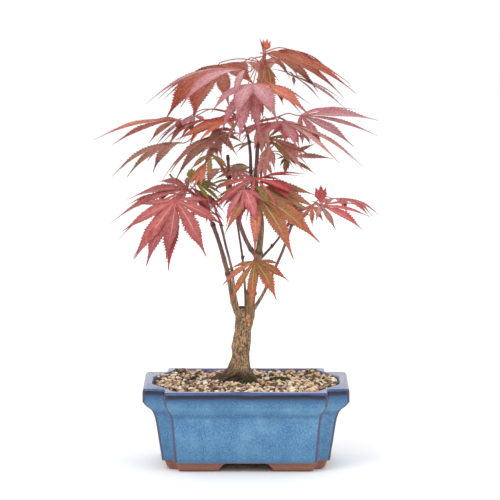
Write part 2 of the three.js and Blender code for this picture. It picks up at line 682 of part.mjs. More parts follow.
// One leaf's blade, closed: its upper and lower faces share the outline and part along the midribs.
function blade(leaf) {
  const [ahead, , face] = leafFrame(leaf.aim);
  const half = Math.max(LEAF.thinnest, LEAF.thickness * leaf.length) / 2;
  const centre = vec(leaf.hub);
  const points = [];
  const keep = (point) => points.push(point) - 1;
  const index = [];
  const ways = lobeWays(leaf);
  const drawnOut = leaf.length >= SHORT_LEAF;
  const heel = centre.clone().addScaledVector(ahead, -LEAF.heel * leaf.length);
  const sinuses = ways.slice(1).map((way, i) => {
    const before = ways[i];
    const reach = LEAF.sinus * Math.min(way.reach, before.reach);
    return before.at(reach).point.add(way.at(reach).point).multiplyScalar(0.5);
  });
  const rim = [heel, ...sinuses].map(keep);
  const top = keep(centre.clone().addScaledVector(face, half));
  const bottom = keep(centre.clone().addScaledVector(face, -half));
  ways.forEach((way, i) => {
    const widest = way.at(LEAF.widest * way.reach);
    const nearest = [ways[i - 1], ways[i + 1]]
      .filter(Boolean)
      .map((other) => other.at(LEAF.widest * other.reach).point.distanceTo(widest.point));
    const broad = Math.min(LEAF.halfWidth * way.reach, LEAF.apart * Math.min(...nearest));
    const stations = [
      [LEAF.widest, broad, half],
      [LEAF.neck, broad * LEAF.neckShare, half * LEAF.thinning],
    ].map(([share, width, thick]) => {
      const { point, tangent } = way.at(share * way.reach);
      const side = way.side.clone().addScaledVector(tangent, -way.side.dot(tangent)).normalize();
      const upper = tangent.clone().cross(side);
      const edge = (sign) =>
        keep(point.clone().addScaledVector(side, sign * width).addScaledVector(upper, LEAF.fold * width));
      return {
        right: edge(-1),
        left: edge(1),
        top: keep(point.clone().addScaledVector(upper, thick)),
        bottom: keep(point.clone().addScaledVector(upper, -thick)),
      };
    });
    const [wide, neck] = stations;
    const tip = keep(way.at(way.reach).point);
    const right = rim[i];
    const leftRim = rim[(i + 1) % rim.length];
    const skin = (hubPoint, a, b, flip) => {
      const faces = [
        [hubPoint, right, a],
        [right, wide.right, a],
        [hubPoint, a, leftRim],
        [leftRim, a, wide.left],
      ];
      if (drawnOut) {
        faces.push([wide.right, neck.right, b], [wide.right, b, a], [neck.right, tip, b]);
        faces.push([a, neck.left, wide.left], [a, b, neck.left], [b, tip, neck.left]);
      } else {
        faces.push([wide.right, tip, a], [a, tip, wide.left]);
      }
      for (const [p, q, r] of faces) index.push(...(flip ? [p, r, q] : [p, q, r]));
    };
    skin(top, wide.top, neck.top, false);
    skin(bottom, wide.bottom, neck.bottom, true);
  });
  const geometry = new THREE.BufferGeometry();
  geometry.setAttribute("position", new THREE.Float32BufferAttribute(points.flatMap((p) => p.toArray()), 3));
  geometry.setIndex(index);
  return solid(geometry);
}

// The petiole leaves its stem upwards and comes to the hub from behind and below.
function petiole(from, { hub, aim, length }) {
  const [ahead, , face] = leafFrame(aim);
  const end = vec(hub).addScaledVector(ahead, PETIOLE.past * length);
  const span = from.distanceTo(end);
  const rising = from.clone().lerp(end, 0.5);
  rising.z += PETIOLE.rise * span;
  const before = vec(hub).addScaledVector(ahead, -PETIOLE.behind * length);
  before.addScaledVector(face, -PETIOLE.under);
  const radii = [PETIOLE.radius, PETIOLE.radius];
  const path = [from, rising, before, end].map((p) => p.toArray());
  return limb({ path, radii, sides: PETIOLE.sides, steps: PETIOLE.steps });
}

function foliage({ stem, radii }, leaves) {
  const curve = smooth(stem);
  const pieces = [limb({ path: stem, radii, sides: STEM_SIDES })];
  for (const leaf of leaves) {
    pieces.push(petiole(curve.getPointAt(leaf.at * STEM_END), leaf), blade(leaf));
  }
  return fused(pieces);
}

const BONE_STEPS = 10; // points along a lobe
const LINE_STEPS = 4; // points along a limb, for each point of its path
const DRAW = { times: 1664525, plus: 1013904223, many: 2 ** 32 };

// Numbers between two limits, in an order that the seed settles.
function seeded(seed) {
  let state = seed;
  return ([from, to]) => {
    state = (state * DRAW.times + DRAW.plus) % DRAW.many;
    return THREE.MathUtils.lerp(from, to, state / DRAW.many);
  };
}

// The points that stand for a leaf's lobes when room is looked for.
function bones(leaf) {
  return lobeWays(leaf).flatMap(({ reach, at }) =>
    Array.from({ length: BONE_STEPS }, (_, i) => at(((i + 1) / BONE_STEPS) * reach).point),
  );
}

// The middle line of a limb or stem, as points a few millimetres apart.
const line = (path) => smooth(path).getSpacedPoints(LINE_STEPS * path.length);

// The leaves of each mass with those that its hidden side grows. A leaf is skipped that would touch a
// limb or another mass, crowd another leaf's hub, or close a gap that the front leaves open.
function grownLeaves() {
  const draw = seeded(HIDDEN.seed);
  const limbs = BOUGHS.flatMap(({ path }) => line(path));
  const front = MASSES.flatMap(({ leaves }) => leaves.flatMap(bones));
  const spaces = MASSES.map(({ stem, leaves }) => [...line(stem), ...leaves.flatMap(bones)]);
  const hubs = MASSES.flatMap(({ leaves }) => leaves.map(({ hub }) => vec(hub)));
  const clearOf = (points, others, distance) =>
    points.every((p) => others.every((q) => p.distanceToSquared(q) > distance ** 2));
  const seenFrom = (p) => new THREE.Vector2(p.x, p.z + HIDDEN.look * p.y);
  const behind = (p) => front.some((q) => q.y < p.y && seenFrom(p).distanceTo(seenFrom(q)) < HIDDEN.cover);
  return MASSES.map(({ stem, leaves, hidden }, mass) => {
    const grown = [];
    const wayOut = Math.atan2(HIDDEN.wayBack, stem.at(-1)[0]) / DEG;
    for (let i = 0; i < HIDDEN.tries && grown.length < hidden; i++) {
      const at = draw(HIDDEN.at);
      const bearing = wayOut + draw(HIDDEN.bearing);
      const reach = draw(HIDDEN.petiole);
      const hub = smooth(stem).getPointAt(at * STEM_END);
      hub.x += reach * Math.cos(bearing * DEG);
      hub.y += reach * Math.sin(bearing * DEG);
      hub.z += draw(HIDDEN.rise);
      const aim = [bearing + draw(HIDDEN.turn), draw(HIDDEN.slope), 0];
      const length = draw(HIDDEN.length);
      const sag = draw(HIDDEN.sag);
      const leaf = { at, hub: hub.toArray(), aim, length, sag, spread: 1, lobes: HIDDEN.lobes };
      const points = bones(leaf);
      const room =
        clearOf([hub], hubs, HIDDEN.apart) &&
        points.every((p) => p.y < HIDDEN.furthest && behind(p)) &&
        clearOf(points, limbs, HIDDEN.clear) &&
        spaces.every((space, other) => other === mass || clearOf(points, space, HIDDEN.clear));
      if (room) {
        grown.push(leaf);
        hubs.push(hub);
        spaces[mass].push(...points);
      }
    }
    return [...leaves, ...grown];
  });
}

// The tree, from the trunk outwards. What comes later is cut clear of the limbs that came before.
const tree = new THREE.Group();
tree.add(mesh("trunk", trunk(), BARK));
let taken = trunk(GAP);
for (const bough of BOUGHS) {
  tree.add(mesh(bough.name, largest(limb(bough).subtract(taken)), TWIG));
  taken = taken.add(limb(bough, GAP));
}
const leavesOf = grownLeaves();
MASSES.forEach((mass, i) => {
  const clear = largest(foliage(mass, leavesOf[i]).subtract(taken).simplify(SLIVER));
  tree.add(mesh(mass.name, clear, { color: mass.color, roughness: 0.65 }));
});

const potted = new THREE.Group();
potted.add(mesh("pot", pot(), { color: 0x3f7fa6, roughness: 0.25 }));
potted.add(mesh("soil", soil(), { color: 0x9a8a70, roughness: 0.95 }));
potted.add(tree);
potted.position.set(POT_RIGHT_OF_MIDDLE, POT_BEHIND_MIDDLE, 0);

const plant = new THREE.Group();
plant.add(potted);

export default plant;
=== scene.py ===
"""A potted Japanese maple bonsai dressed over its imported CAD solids.

The trunk, boughs and foliage repeat the CAD's sizes in millimetres and its rule for the leaves of
the side that is turned away, and carry them finer, with toothed lobes, veins, bark and buds.
"""

import math
import random

import bmesh
import bpy
import numpy as np
from bpy.props import FloatProperty, FloatVectorProperty, IntProperty, PointerProperty
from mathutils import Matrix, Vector, noise


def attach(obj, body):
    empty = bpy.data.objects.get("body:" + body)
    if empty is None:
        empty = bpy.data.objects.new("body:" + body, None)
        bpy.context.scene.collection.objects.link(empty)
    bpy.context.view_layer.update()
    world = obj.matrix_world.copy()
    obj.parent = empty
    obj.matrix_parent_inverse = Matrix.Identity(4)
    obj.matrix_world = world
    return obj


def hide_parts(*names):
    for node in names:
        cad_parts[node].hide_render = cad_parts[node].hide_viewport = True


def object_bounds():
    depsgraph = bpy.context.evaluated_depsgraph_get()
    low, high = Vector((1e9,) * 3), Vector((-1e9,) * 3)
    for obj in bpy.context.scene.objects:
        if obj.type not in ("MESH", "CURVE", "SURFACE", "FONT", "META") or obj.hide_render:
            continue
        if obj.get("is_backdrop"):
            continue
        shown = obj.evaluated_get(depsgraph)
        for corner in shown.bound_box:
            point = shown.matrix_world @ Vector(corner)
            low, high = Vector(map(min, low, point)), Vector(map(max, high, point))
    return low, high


bl_info = {
    "name": "Potted Japanese Maple",
    "version": (1, 0, 0),
    "blender": (4, 5, 0),
    "location": "3D View > Sidebar > Maple",
    "description": "Dresses a potted Japanese maple bonsai over its CAD solids",
    "category": "Add Mesh",
}

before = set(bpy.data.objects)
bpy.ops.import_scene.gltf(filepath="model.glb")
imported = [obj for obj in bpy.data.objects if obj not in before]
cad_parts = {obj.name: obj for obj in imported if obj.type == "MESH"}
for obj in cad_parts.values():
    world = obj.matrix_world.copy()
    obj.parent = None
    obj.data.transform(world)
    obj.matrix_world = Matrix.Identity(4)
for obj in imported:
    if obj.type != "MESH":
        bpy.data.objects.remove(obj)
CAD_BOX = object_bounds()

MM = 0.001
DEG = math.pi / 180
# The pot's middle in the frame, and how far the solids stand clear of each other, in millimetres.
POT_AT = np.array([6.5, 2.4, 0.0])
CLEARANCE = 0.3

POT = {
    "half_width": 90.5,
    "half_depth": 69.0,
    "height": 73.5,
    "foot_height": 8.3,
    "base_inset": 16.6,
    "notch_width": (19.5, 11.6),
    "notch_depth": (22.0, 14.0),
    "outer_edge": 3.0,
    "inner_edge": 5.0,
    "wall": 8.0,
}
# Height and inset of the outer wall from the foot up, of the lip's rounded edge, and of the inside.
POT_WALL = [
    (9.3, 16.6), (17.7, 15.4), (25.7, 14.1), (40.3, 11.9), (48.3, 10.2), (53.6, 7.7), (57.5, 3.2),
    (61.6, 0.0),
]
WALL_STEPS = 26
# How the wall's lower edge is rounded, by height and by how far in it lies from the wall's foot.
WALL_EDGE = [(8.3, 0.6), (8.7, 0.1)]
LIP = [(62.4, -0.02), (69.6, 0.0), (71.5, 0.2), (72.7, 0.8), (73.3, 1.7), (73.5, 2.8)]
INNER_WALL = [(15.0, 15.2), (25.8, 14.1), (40.3, 11.9), (48.6, 10.0), (59.0, 4.0), (68.3, 1.0)]
# Where the inside opens out at the lip: height over it and inset.
MOUTH = [(-0.9, 0.3), (0.5, -0.8)]
# The foot's insets at its top, over its bevel and at its sole, its bevel's height, how wide its ring is, and
# how wide its openings are at the top and at the sole on the long sides and on the short ones.
FOOT = {
    "top": 19.2, "bottom": 21.1, "sole": 24.5, "bevel": 2.5, "ring": 15.0, "below": -1.0,
    "front": (35, 51), "side": (22, 36),
}
# An opening's section: how far it flares, its sill's height, and its shoulder and corner under the top.
OPENING = {"flare": 2, "sill": 0.6, "shoulder": 1.2, "corner": 0.2}
# How worn an edge of the pot shows: how far in an upright edge's middle lies, how strongly it shows, how
# far it reaches and above which height, and the height and reach of the lip's edge.
WORN = {"inset": 1.2, "most": 1.6, "reach": 1.25, "above": 8.5, "lip": 72.2, "lip_reach": 0.9}
INSIDE = {"side": 0.43, "front": 0.86, "narrowing": 0.7, "below_edge": 6, "past_soil": 1.3}
DRAIN = {"from_middle": 30.0, "sides": 32, "heights": (2.0, 20.0)}
SOIL_RINGS = (1, 0.97, 0.93, 0.88, 0.82, 0.76, 0.7, 0.63, 0.56, 0.48, 0.4, 0.3, 0.2, 0.1)
SOIL = {
    "edge": 70.3, "top": 74.6, "inset": 0.6, "flat": 0.45, "seat": 30.0, "pitch": 17.0, "dip": 1.1,
    "rise": (0.7, 1.8), "seed": 5, "cut_corner": 14,
}

# Height, middle along X, radius, root flare and burl of the trunk, from the soil to the cut stub.
TRUNK_RINGS = [
    (74.9, -5.0, 8.6, 1.0, 0.0), (76.4, -5.0, 8.4, 0.84, 0.4), (79.5, -5.0, 8.1, 0.5, 0.9),
    (84.5, -5.0, 7.9, 0.2, 1.0), (91.0, -5.0, 7.7, 0.04, 0.3), (97.0, -5.0, 7.9, 0.0, 0.0),
    (104.0, -4.8, 8.3, 0.0, 0.0), (111.0, -4.0, 7.9, 0.0, 0.0), (118.0, -3.0, 7.5, 0.0, 0.0),
    (125.0, -2.0, 7.9, 0.0, 0.0), (130.0, -1.3, 8.3, 0.0, 0.0), (133.0, -2.0, 6.4, 0.0, 0.0),
    (136.0, -3.9, 3.7, 0.0, 0.0), (139.0, -4.1, 3.3, 0.0, 0.0),
]
ROOTS = [(182, 20), (-66, 15), (-118, 7), (12, 7), (98, 12)]
BURL = (-80, 3)

# Name, path, radii along it, and where its nodes stand as shares of its length.
BOUGHS = [
    ("bough_leader",
     [(3, 0, 129), (4, 0, 149), (8, 0, 169), (12, 0, 193), (13.5, 0, 215), (11, 0, 231), (9, 0, 241)],
     (4.7, 4.4, 3.4, 3, 2.7, 2.3, 2.2), (0.2, 0.45, 0.52, 0.92)),
    ("bough_upright_middle", [(9, 0, 241.6), (9, 0, 255), (10, 0, 282), (10, 0, 295), (7.5, 0, 309)],
     (1.9, 1.9, 1.7, 1.5, 1.4), (0.2, 0.6, 0.93)),
    ("bough_upright_left", [(8, 1, 234), (4.6, 3, 254), (3.6, 4, 277), (1, 2, 293), (-3, 0, 303)],
     (1.7, 1.6, 1.4, 1.2, 1), (0.35, 0.72, 0.96)),
    ("bough_upright_right", [(11, -1, 234), (13.6, -4, 248), (13.2, -5, 258), (14.6, -5, 267)],
     (1.2, 1.1, 1.1, 0.9), (0.45, 0.95)),
    ("bough_left_outer",
     [(-6, 1, 129), (-11, 2, 142), (-13.4, 2, 155), (-17, 2, 172), (-24, 2, 197), (-30, 2, 214)],
     (2.7, 2.4, 2.1, 2.1, 1.8, 1.9), (0.46, 0.97)),
    ("bough_left_inner", [(-5, -4, 130), (-9.6, -5, 151), (-12.6, -5, 173), (-18, -5, 195), (-22.6, -5, 215)],
     (1.3, 1.2, 1.1, 1.1, 1.2), (0.5, 0.97)),
    ("bough_rear", [(0, 5, 130), (-1, 9, 156), (-3, 12, 180), (-6, 10, 201), (-8, 8, 215)],
     (1.2, 1.1, 1, 1, 0.9), (0.6, 0.97)),
    ("bough_left_curve",
     [(11, 0, 181), (3, -4, 193), (-3.6, -7, 208), (-8.6, -7, 228), (-14, -4, 249), (-16, -3, 274)],
     (2, 1.9, 1.7, 1.5, 1.4, 1.3), (0.12, 0.5, 0.8, 0.97)),
    ("bough_right_outer", [(5, -1, 134), (15, -4, 151), (25, -6, 173), (33, -8, 192), (41, -10, 216)],
     (1.7, 1.4, 1.3, 1.2, 1.3), (0.5, 0.97)),
    ("bough_right_inner", [(11, 1, 180), (19, 4, 188), (28, 8, 198), (38, 12, 212)],
     (1.3, 1.1, 1, 1.1), (0.4, 0.97)),
]

LEAF = {
    "lobe_step": 35,
    "lobe_lengths": (1, 0.93, 0.74, 0.46),
    "sinus": 0.2,
    "half_width": 0.122,
    "steepest": 85,
    "least_bend": 0.01,
}
STEM_END = 0.97
# A lobe's half-width along it, as a share of its broadest.
LOBE_SHARES = (0.0, 0.15, 0.28, 0.42, 0.52, 0.62, 0.72, 0.8, 0.88, 1.0)
LOBE_WIDTHS = (0.32, 0.42, 0.7, 0.96, 1.0, 0.85, 0.54, 0.29, 0.13, 0.04)

# Colours of a lobe: its face, its underside, brightened by painted light shining through the leaf, and its
# tips.
LEAF_LOOKS = {
    "mauve": ("#d08e98", "#f09c76", "#a65a62"),
    "rust": ("#da8862", "#ee9c72", "#b44c40"),
    "pink": ("#dd939d", "#e0a090", "#bc5c66"),
    "orange": ("#de7c5c", "#f29a70", "#bc4c3c"),
    "plum": ("#c4868f", "#dc9678", "#92505a"),
    "brown": ("#b98778", "#c99074", "#9a544c"),
    "crimson": ("#b95c5c", "#c8706a", "#9c3436"),
    "red": ("#cf5656", "#d07060", "#a83436"),
    "rose": ("#d4707a", "#d0807c", "#b0464e"),
    "salmon": ("#dca49a", "#dab49c", "#be6a64"),
    "olive": ("#92803e", "#a68c58", "#a64e3a"),
    "amber": ("#977334", "#a87a40", "#bc4a32"),
    "green": ("#98a032", "#a0a04c", "#9a7c38"),
}

# Foliage masses: node, stem, its radii, how many hidden leaves its rule grows and their look, and the
# leaves that show in front: place of the petiole on the stem, hub, aim, length, sag, spread, lobes, look.
MASSES = [
    ("foliage_top", [(7.4, 0, 309.4), (9, -2, 326), (12, 0, 346), (16, 0, 362), (15.4, 0, 368)],
     (1.4, 1.2, 1.1, 1.2, 0.9), 4, "mauve", [
         (0.9, (18, 0, 363), (0, -4, -30), 92, 44, 0.5, 7, "rust"),
         (0.9, (0, -8, 349), (180, -3, 8), 95, 32, 1, 5, "mauve"),
         (0.8, (-23, 12, 351), (119, -38, -8), 72, 16, 0.85, 7, "mauve"),
         (0.9, (5, -30, 339), (-68, -4, 0), 72, 34, 1, 7, "mauve"),
         (0.8, (42, 22, 341), (16, -20, 0), 60, 22, 1, 7, "plum"),
         (0.92, (17, 3, 358), (88, -70, 0), 44, 10, 0.35, 3, "green"),
         (1, (14, -1, 366), (160, 72, 0), 11, 0, 0.5, 3, "orange"),
         (1, (16, 1, 366), (20, 80, 0), 10, 0, 0.5, 3, "orange"),
     ]),
    ("foliage_upper_right", [(9.8, -1.6, 303), (17, -6, 305), (25, -10, 307)], (1.1, 1, 0.9), 2, "pink", [
        (1, (46, -5, 309), (-2, -1, 18), 76, 26, 0.9, 7, "pink"),
        (1, (32, -34, 307), (-29, -16, -12), 82, 24, 0.9, 7, "pink"),
        (1, (31, -30, 308), (192, -10, -30), 46, 40, 0.5, 3, "pink"),
    ]),
    ("foliage_upper_left", [(-3.2, 0, 303.6), (-8, -2, 308), (-12, -2, 311)], (1, 0.9, 0.8), 3, "orange", [
        (0.5, (-4, -16, 306), (182, 4, -12), 62, 46, 0.9, 5, "orange"),
        (0.4, (-6, -6, 296), (184, -6, 14), 86, 55, 0.6, 5, "brown"),
        (1, (-60, 0, 306), (180, 0, 14), 76, 28, 0.8, 7, "orange"),
        (1, (-46, 28, 305), (196, -22, 0), 48, 30, 1, 7, "plum"),
        (0.7, (-57, 16, 283), (182, -2, 14), 70, 48, 0.75, 5, "brown"),
    ]),
    ("foliage_middle_left", [(-17.6, -3, 258), (-22, -6, 265), (-27, -12, 272)], (0.9, 0.9, 0.8), 1,
     "brown", [
        (1, (-31, -18, 276), (-96, -60, 0), 24, 15, 1.6, 3, "olive"),
    ]),
    ("foliage_middle_right", [(14.8, -5, 267.6), (18, -7, 276), (19, -9, 284)], (0.9, 0.8, 0.8), 1, "olive", [
        (1, (19, -15, 290), (-6, -16, 38), 42, 12, 1, 5, "olive"),
        (0.3, (36, 8, 271), (0, 2, 24), 41, 8, 1.35, 5, "olive"),
        (0.6, (47, 28, 288), (40, 10, 0), 18, 100, 1, 3, "brown"),
    ]),
    ("foliage_lower_left", [(-30.4, 2, 214.8), (-38, 0, 227), (-48, -3, 241), (-58, -3, 246), (-67, -3, 257)],
     (1.5, 1.3, 1.2, 1.1, 0.9), 2, "crimson", [
         (0.7, (-51, -5, 247), (186, -12, -10), 78, 18, 0.85, 7, "crimson"),
         (0.55, (-59, -30, 238), (-98, -44, 0), 72, 18, 0.92, 7, "crimson"),
         (0.75, (-49, 0, 251), (70, 70, 0), 12, 0, 0.4, 3, "green"),
         (0.6, (-46, -7, 247), (18, 32, -40), 17, 10, 0.4, 3, "brown"),
         (0.7, (-50, -11, 244), (-22, -36, 0), 36, 10, 0.5, 3, "crimson"),
     ]),
    ("foliage_centre", [(-8.2, 8, 215.6), (-9, 1, 229), (-5, -22, 240), (0, -34, 244)],
     (0.9, 0.9, 0.8, 0.8), 0, "red", [
         (0.8, (9, -40, 256), (-100, 6, 0), 56, 40, 1.1, 7, "red"),
         (1, (-3, -58, 243), (-92, -30, 0), 36, 40, 1, 5, "crimson"),
         (1, (6, -48, 247), (-48, -38, 0), 77, 22, 0.88, 5, "amber"),
         (0.8, (10, -37, 257), (6, 16, 0), 44, 24, 0.5, 3, "red"),
     ]),
    ("foliage_right", [(41.2, -10, 216.6), (47, -8, 224), (57, -6, 229)], (1, 0.9, 0.8), 1, "red", [
        (1, (65, -5, 231), (-8, -8, 14), 54, 14, 1, 7, "red"),
        (1, (65, -4, 232), (80, 72, 0), 17, 0, 0.6, 3, "red"),
    ]),
    ("foliage_right_rear", [(38.2, 12.4, 212.4), (39, 20, 222), (41, 30, 230)], (0.9, 0.8, 0.8), 2,
     "crimson", []),
    ("foliage_rear", [(13.4, 3.2, 214), (12, 16, 228), (10, 32, 240)], (0.9, 0.8, 0.8), 2, "orange", [
        (0.7, (4, 15, 261), (184, -4, 25), 40, 14, 0.6, 5, "olive"),
    ]),
    ("foliage_left_inner", [(-22.8, -5, 215.6), (-26, -1, 222), (-28, 10, 230)], (1, 0.8, 0.8), 2,
     "crimson", []),
    ("foliage_low_front", [(9.6, -2.8, 186), (8.6, -14, 187), (7.4, -22, 186)], (0.8, 0.8, 0.8), 0, "amber", [
        (1, (7, -25, 182), (-92, -52, 0), 46, 10, 0.82, 7, "amber"),
    ]),
]

# Leaves drawn finer than the solids' blades, by mass and place in its list: the looks and width shares of
# their lobes from one side to the other, and the leaf itself where it hangs a little otherwise.
DETAIL = {
    ("foliage_top", 0): {
        "looks": ("orange", "orange", "orange", "orange", "rust", "mauve", "rust"),
        "widths": (0.9, 1.15, 0.8, 1.15, 0.8, 1, 0.9),
        "leaf": (0.9, (17, 0, 363), (-2, -7, -21), 88, 34, 0.46, 7),
    },
    ("foliage_top", 1): {
        "widths": (0.5, 0.5, 1.05, 0.75, 0.4),
        "leaf": (0.9, (-1, -8, 348.7), (194, 7, 0), 95, 49, 0.95, 5),
    },
    ("foliage_top", 2): {
        "looks": ("rust", "rust", "orange", "orange", "orange", "mauve", "olive"),
        "widths": (0.6, 1.2, 0.8, 1.45, 1.45, 0.6, 0.8),
        "leaf": (0.8, (-24, 12, 352), (114, -31, -7), 79, 24, 0.85, 7),
    },
    ("foliage_top", 3): {
        "looks": ("mauve", "mauve", "mauve", "mauve", "orange", "brown", "plum"),
        "widths": (0.8, 0.9, 1, 0.95, 1.25, 1.1, 0.8),
        "leaf": (0.9, (3.7, -30, 338.6), (-71, -1, 3), 76, 40, 0.86, 7),
    },
    ("foliage_top", 4): {
        "widths": (0.5, 0.6, 1, 0.4, 0.5, 0.6, 0.5),
        "leaf": (0.8, (42, 22, 341.4), (29, -16, 15), 59, 19, 1.1, 7),
    },
    ("foliage_top", 5): {"looks": ("amber", "amber", "amber")},
    ("foliage_top", 6): {"widths": (2.2, 2.6, 2.2), "leaf": (1, (15, -1, 364), (150, 74, 30), 13, 0, 0.5, 3)},
    ("foliage_top", 7): {"widths": (2.0, 2.4, 2.0), "leaf": (1, (16, 1, 364), (20, 76, 60), 12, 0, 0.5, 3)},
    ("foliage_upper_right", 0): {
        "looks": ("pink", "pink", "plum", "plum", "mauve", "pink", "pink"),
        "widths": (0.7, 0.6, 0.8, 0.35, 1.45, 0.5, 0.4),
        "leaf": (1, (47.5, -5, 309), (-23, -1, 22), 74, 22, 0.65, 7),
    },
    ("foliage_upper_right", 1): {
        "looks": ("pink", "pink", "salmon", "salmon", "pink", "pink", "pink"),
        "widths": (1, 0.8, 0.5, 0.95, 0.4, 1.2, 1),
        "leaf": (1, (32, -33.6, 305.5), (-12, -13, -3), 81, 30, 0.94, 7),
    },
    ("foliage_upper_right", 2): {"leaf": (1, (31.4, -30, 305.7), (212, -3, 0), 48, 30, 0.7, 3)},
    ("foliage_upper_left", 0): {
        "looks": ("orange", "red", "red", "orange", "mauve"),
        "widths": (0.6, 0.7, 1.3, 0.6, 0.4),
        "leaf": (0.5, (-5, -16, 306), (186, 5, -7), 60, 45, 0.95, 5),
    },
    ("foliage_upper_left", 1): {"leaf": (0.4, (-7, -6, 293.7), (184, -4, 14), 82, 56, 0.68, 5)},
    ("foliage_upper_left", 2): {
        "looks": ("orange", "orange", "red", "orange", "rust", "mauve", "mauve"),
        "widths": (0.8, 0.7, 0.75, 0.8, 0.7, 0.8, 1),
        "leaf": (1, (-60, 0, 304.5), (180, 0, 14), 77, 27, 0.85, 7),
    },
    ("foliage_middle_right", 0): {
        "looks": ("salmon", "olive", "brown", "green", "salmon"),
        "widths": (0.6, 0.6, 0.75, 0.6, 0.5),
    },
    ("foliage_middle_right", 1): {
        "looks": ("olive", "olive", "brown", "olive", "olive"),
        "widths": (0.7, 0.6, 0.8, 0.7, 0.8),
    },
    ("foliage_lower_left", 0): {
        "widths": (0.6, 0.6, 0.9, 0.9, 0.4, 0.9, 0.8),
        "leaf": (0.7, (-51, -5.5, 244), (163, -11, -28), 84, 28, 0.74, 7),
    },
    ("foliage_lower_left", 1): {
        "looks": ("crimson", "crimson", "crimson", "red", "crimson", "crimson", "crimson"),
        "widths": (0.8, 0.8, 0.85, 0.9, 0.95, 0.85, 0.7),
        "leaf": (0.55, (-61, -30, 237), (-97, -46, 6), 73, 8, 0.86, 7),
    },
    ("foliage_lower_left", 2): {"widths": (2.2, 2.8, 2.2)},
    ("foliage_centre", 0): {
        "looks": ("crimson", "crimson", "crimson", "crimson", "crimson", "red", "red"),
        "widths": (0.9, 1, 0.9, 0.4, 0.4, 0.8, 0.9),
        "leaf": (0.8, (7.7, -40, 257), (-100, -22, -2), 56, 28, 1.13, 7),
    },
    ("foliage_centre", 1): {
        "looks": ("rose", "rose", "crimson", "rose", "crimson"),
        "widths": (0.8, 1, 0.6, 1.4, 0.7),
        "leaf": (1, (-1.5, -57.5, 249.5), (-102, -40, 14), 40, 40, 0.97, 5),
    },
    ("foliage_centre", 2): {
        "looks": ("amber", "rust", "amber", "amber", "olive"),
        "widths": (0.6, 0.6, 0.95, 1.05, 0.8),
        "leaf": (0.8, (6, -48, 247), (-56, -28, 8), 82, 25, 0.82, 5),
    },
    ("foliage_right", 0): {
        "looks": ("salmon", "brown", "red", "red", "red", "red", "crimson"),
        "widths": (0.9, 0.7, 1.6, 0.9, 0.5, 0.5, 0.5),
        "leaf": (1, (66, -5, 229.3), (7, -2, 18), 50, 26, 1.05, 7),
    },
    ("foliage_right", 1): {"widths": (1.8, 2.4, 1.8), "leaf": (1, (65, -4, 231), (80, 74, 0), 17, 0, 0.5, 3)},
    ("foliage_low_front", 0): {
        "looks": ("olive", "rust", "amber", "amber", "amber", "amber", "amber"),
        "widths": (0.8, 0.8, 0.6, 0.8, 1.1, 0.95, 0.9),
        "leaf": (1, (8, -25, 183), (-94, -36, 8), 53, 20, 0.82, 7),
    },
}
# Small leaves of the middle that only show as detail, by mass: as in the list of masses.
ADDED = {
    "foliage_middle_right": [
        (0.5, (20, -12, 283), (-100, -50, 0), 26, 20, 0.6, 3, "salmon"),
        (0.2, (14, -9, 274), (-70, -62, 0), 24, 15, 0.7, 3, "salmon"),
        (0.9, (26, -12, 288), (10, -30, 30), 40, 20, 0.5, 3, "salmon"),
        (0.6, (36, 6, 272), (-80, -45, 0), 14, 20, 1.2, 5, "olive"),
        (1, (46, -8, 293), (200, 20, 0), 12, 110, 0.7, 3, "olive"),
    ],
    "foliage_middle_left": [
        (0.6, (-26, -14, 281), (200, 10, 0), 20, 60, 1.0, 5, "plum"),
        (1, (-34, -14, 270), (-140, -50, 0), 30, 15, 0.6, 3, "rust"),
        (0.4, (-12, -12, 252), (178, 4, 20), 28, 45, 1.0, 5, "green"),
        (0.2, (-8, -8, 262), (-60, -30, 0), 24, 30, 1.0, 5, "brown"),
    ],
    "foliage_lower_left": [
        (0.5, (-44, -12, 250), (20, -12, 30), 34, 30, 0.8, 5, "green"),
        (0.45, (-47, -10, 246), (-30, -30, 0), 40, 20, 0.6, 3, "crimson"),
        (0.55, (-61, -29, 236.5), (-122, -42, 4), 70, 12, 0.5, 3, "crimson"),
    ],
    "foliage_centre": [
        (0.7, (-3, -34, 250), (150, -14, 0), 32, 30, 0.9, 5, "green"),
        (0.75, (8, -46, 251), (-20, -30, 10), 38, 20, 0.7, 3, "green"),
        (0.8, (4, -42, 249), (-120, -40, 0), 38, 25, 0.8, 5, "crimson"),
        (0.8, (14, -34, 249), (-6, -10, 40), 52, 22, 0.5, 3, "olive"),
        (0.8, (12, -38, 254), (-8, -4, 30), 40, 34, 0.5, 3, "red"),
        (0.6, (-6, -28, 246), (176, -20, 0), 38, 30, 0.7, 5, "crimson"),
    ],
    "foliage_right": [
        (0.9, (58, -8, 229), (-90, -40, 0), 20, 25, 1.1, 5, "rust"),
        (0.8, (52, -8, 228), (170, 6, 0), 20, 30, 0.9, 5, "olive"),
    ],
    "foliage_upper_left": [
        (0.6, (-29, -12, 296), (-30, -25, 30), 32, 30, 0.9, 5, "brown"),
        (0.5, (-9, -22, 306.5), (186, -8, 35), 56, 20, 1, 1, "orange"),
    ],
    "foliage_upper_right": [
        (0.6, (14, -12, 303), (-90, -60, 0), 28, 20, 0.6, 3, "salmon"),
        (0.9, (34, -20, 306), (-60, -30, 0), 34, 25, 0.8, 5, "pink"),
    ],
    "foliage_top": [
        (0.8, (17.7, -22, 341), (-49, -25, -20), 56, 10, 0.7, 3, "rust"),
        (0.8, (5, -32, 336), (-112, -42, 0), 54, 30, 0.8, 3, "mauve"),
        (0.3, (9, -10, 325), (-110, -50, 0), 24, 15, 0.7, 3, "green"),
        (0.3, (12, -8, 326), (-70, -62, 0), 20, 10, 0.9, 3, "orange"),
    ],
}

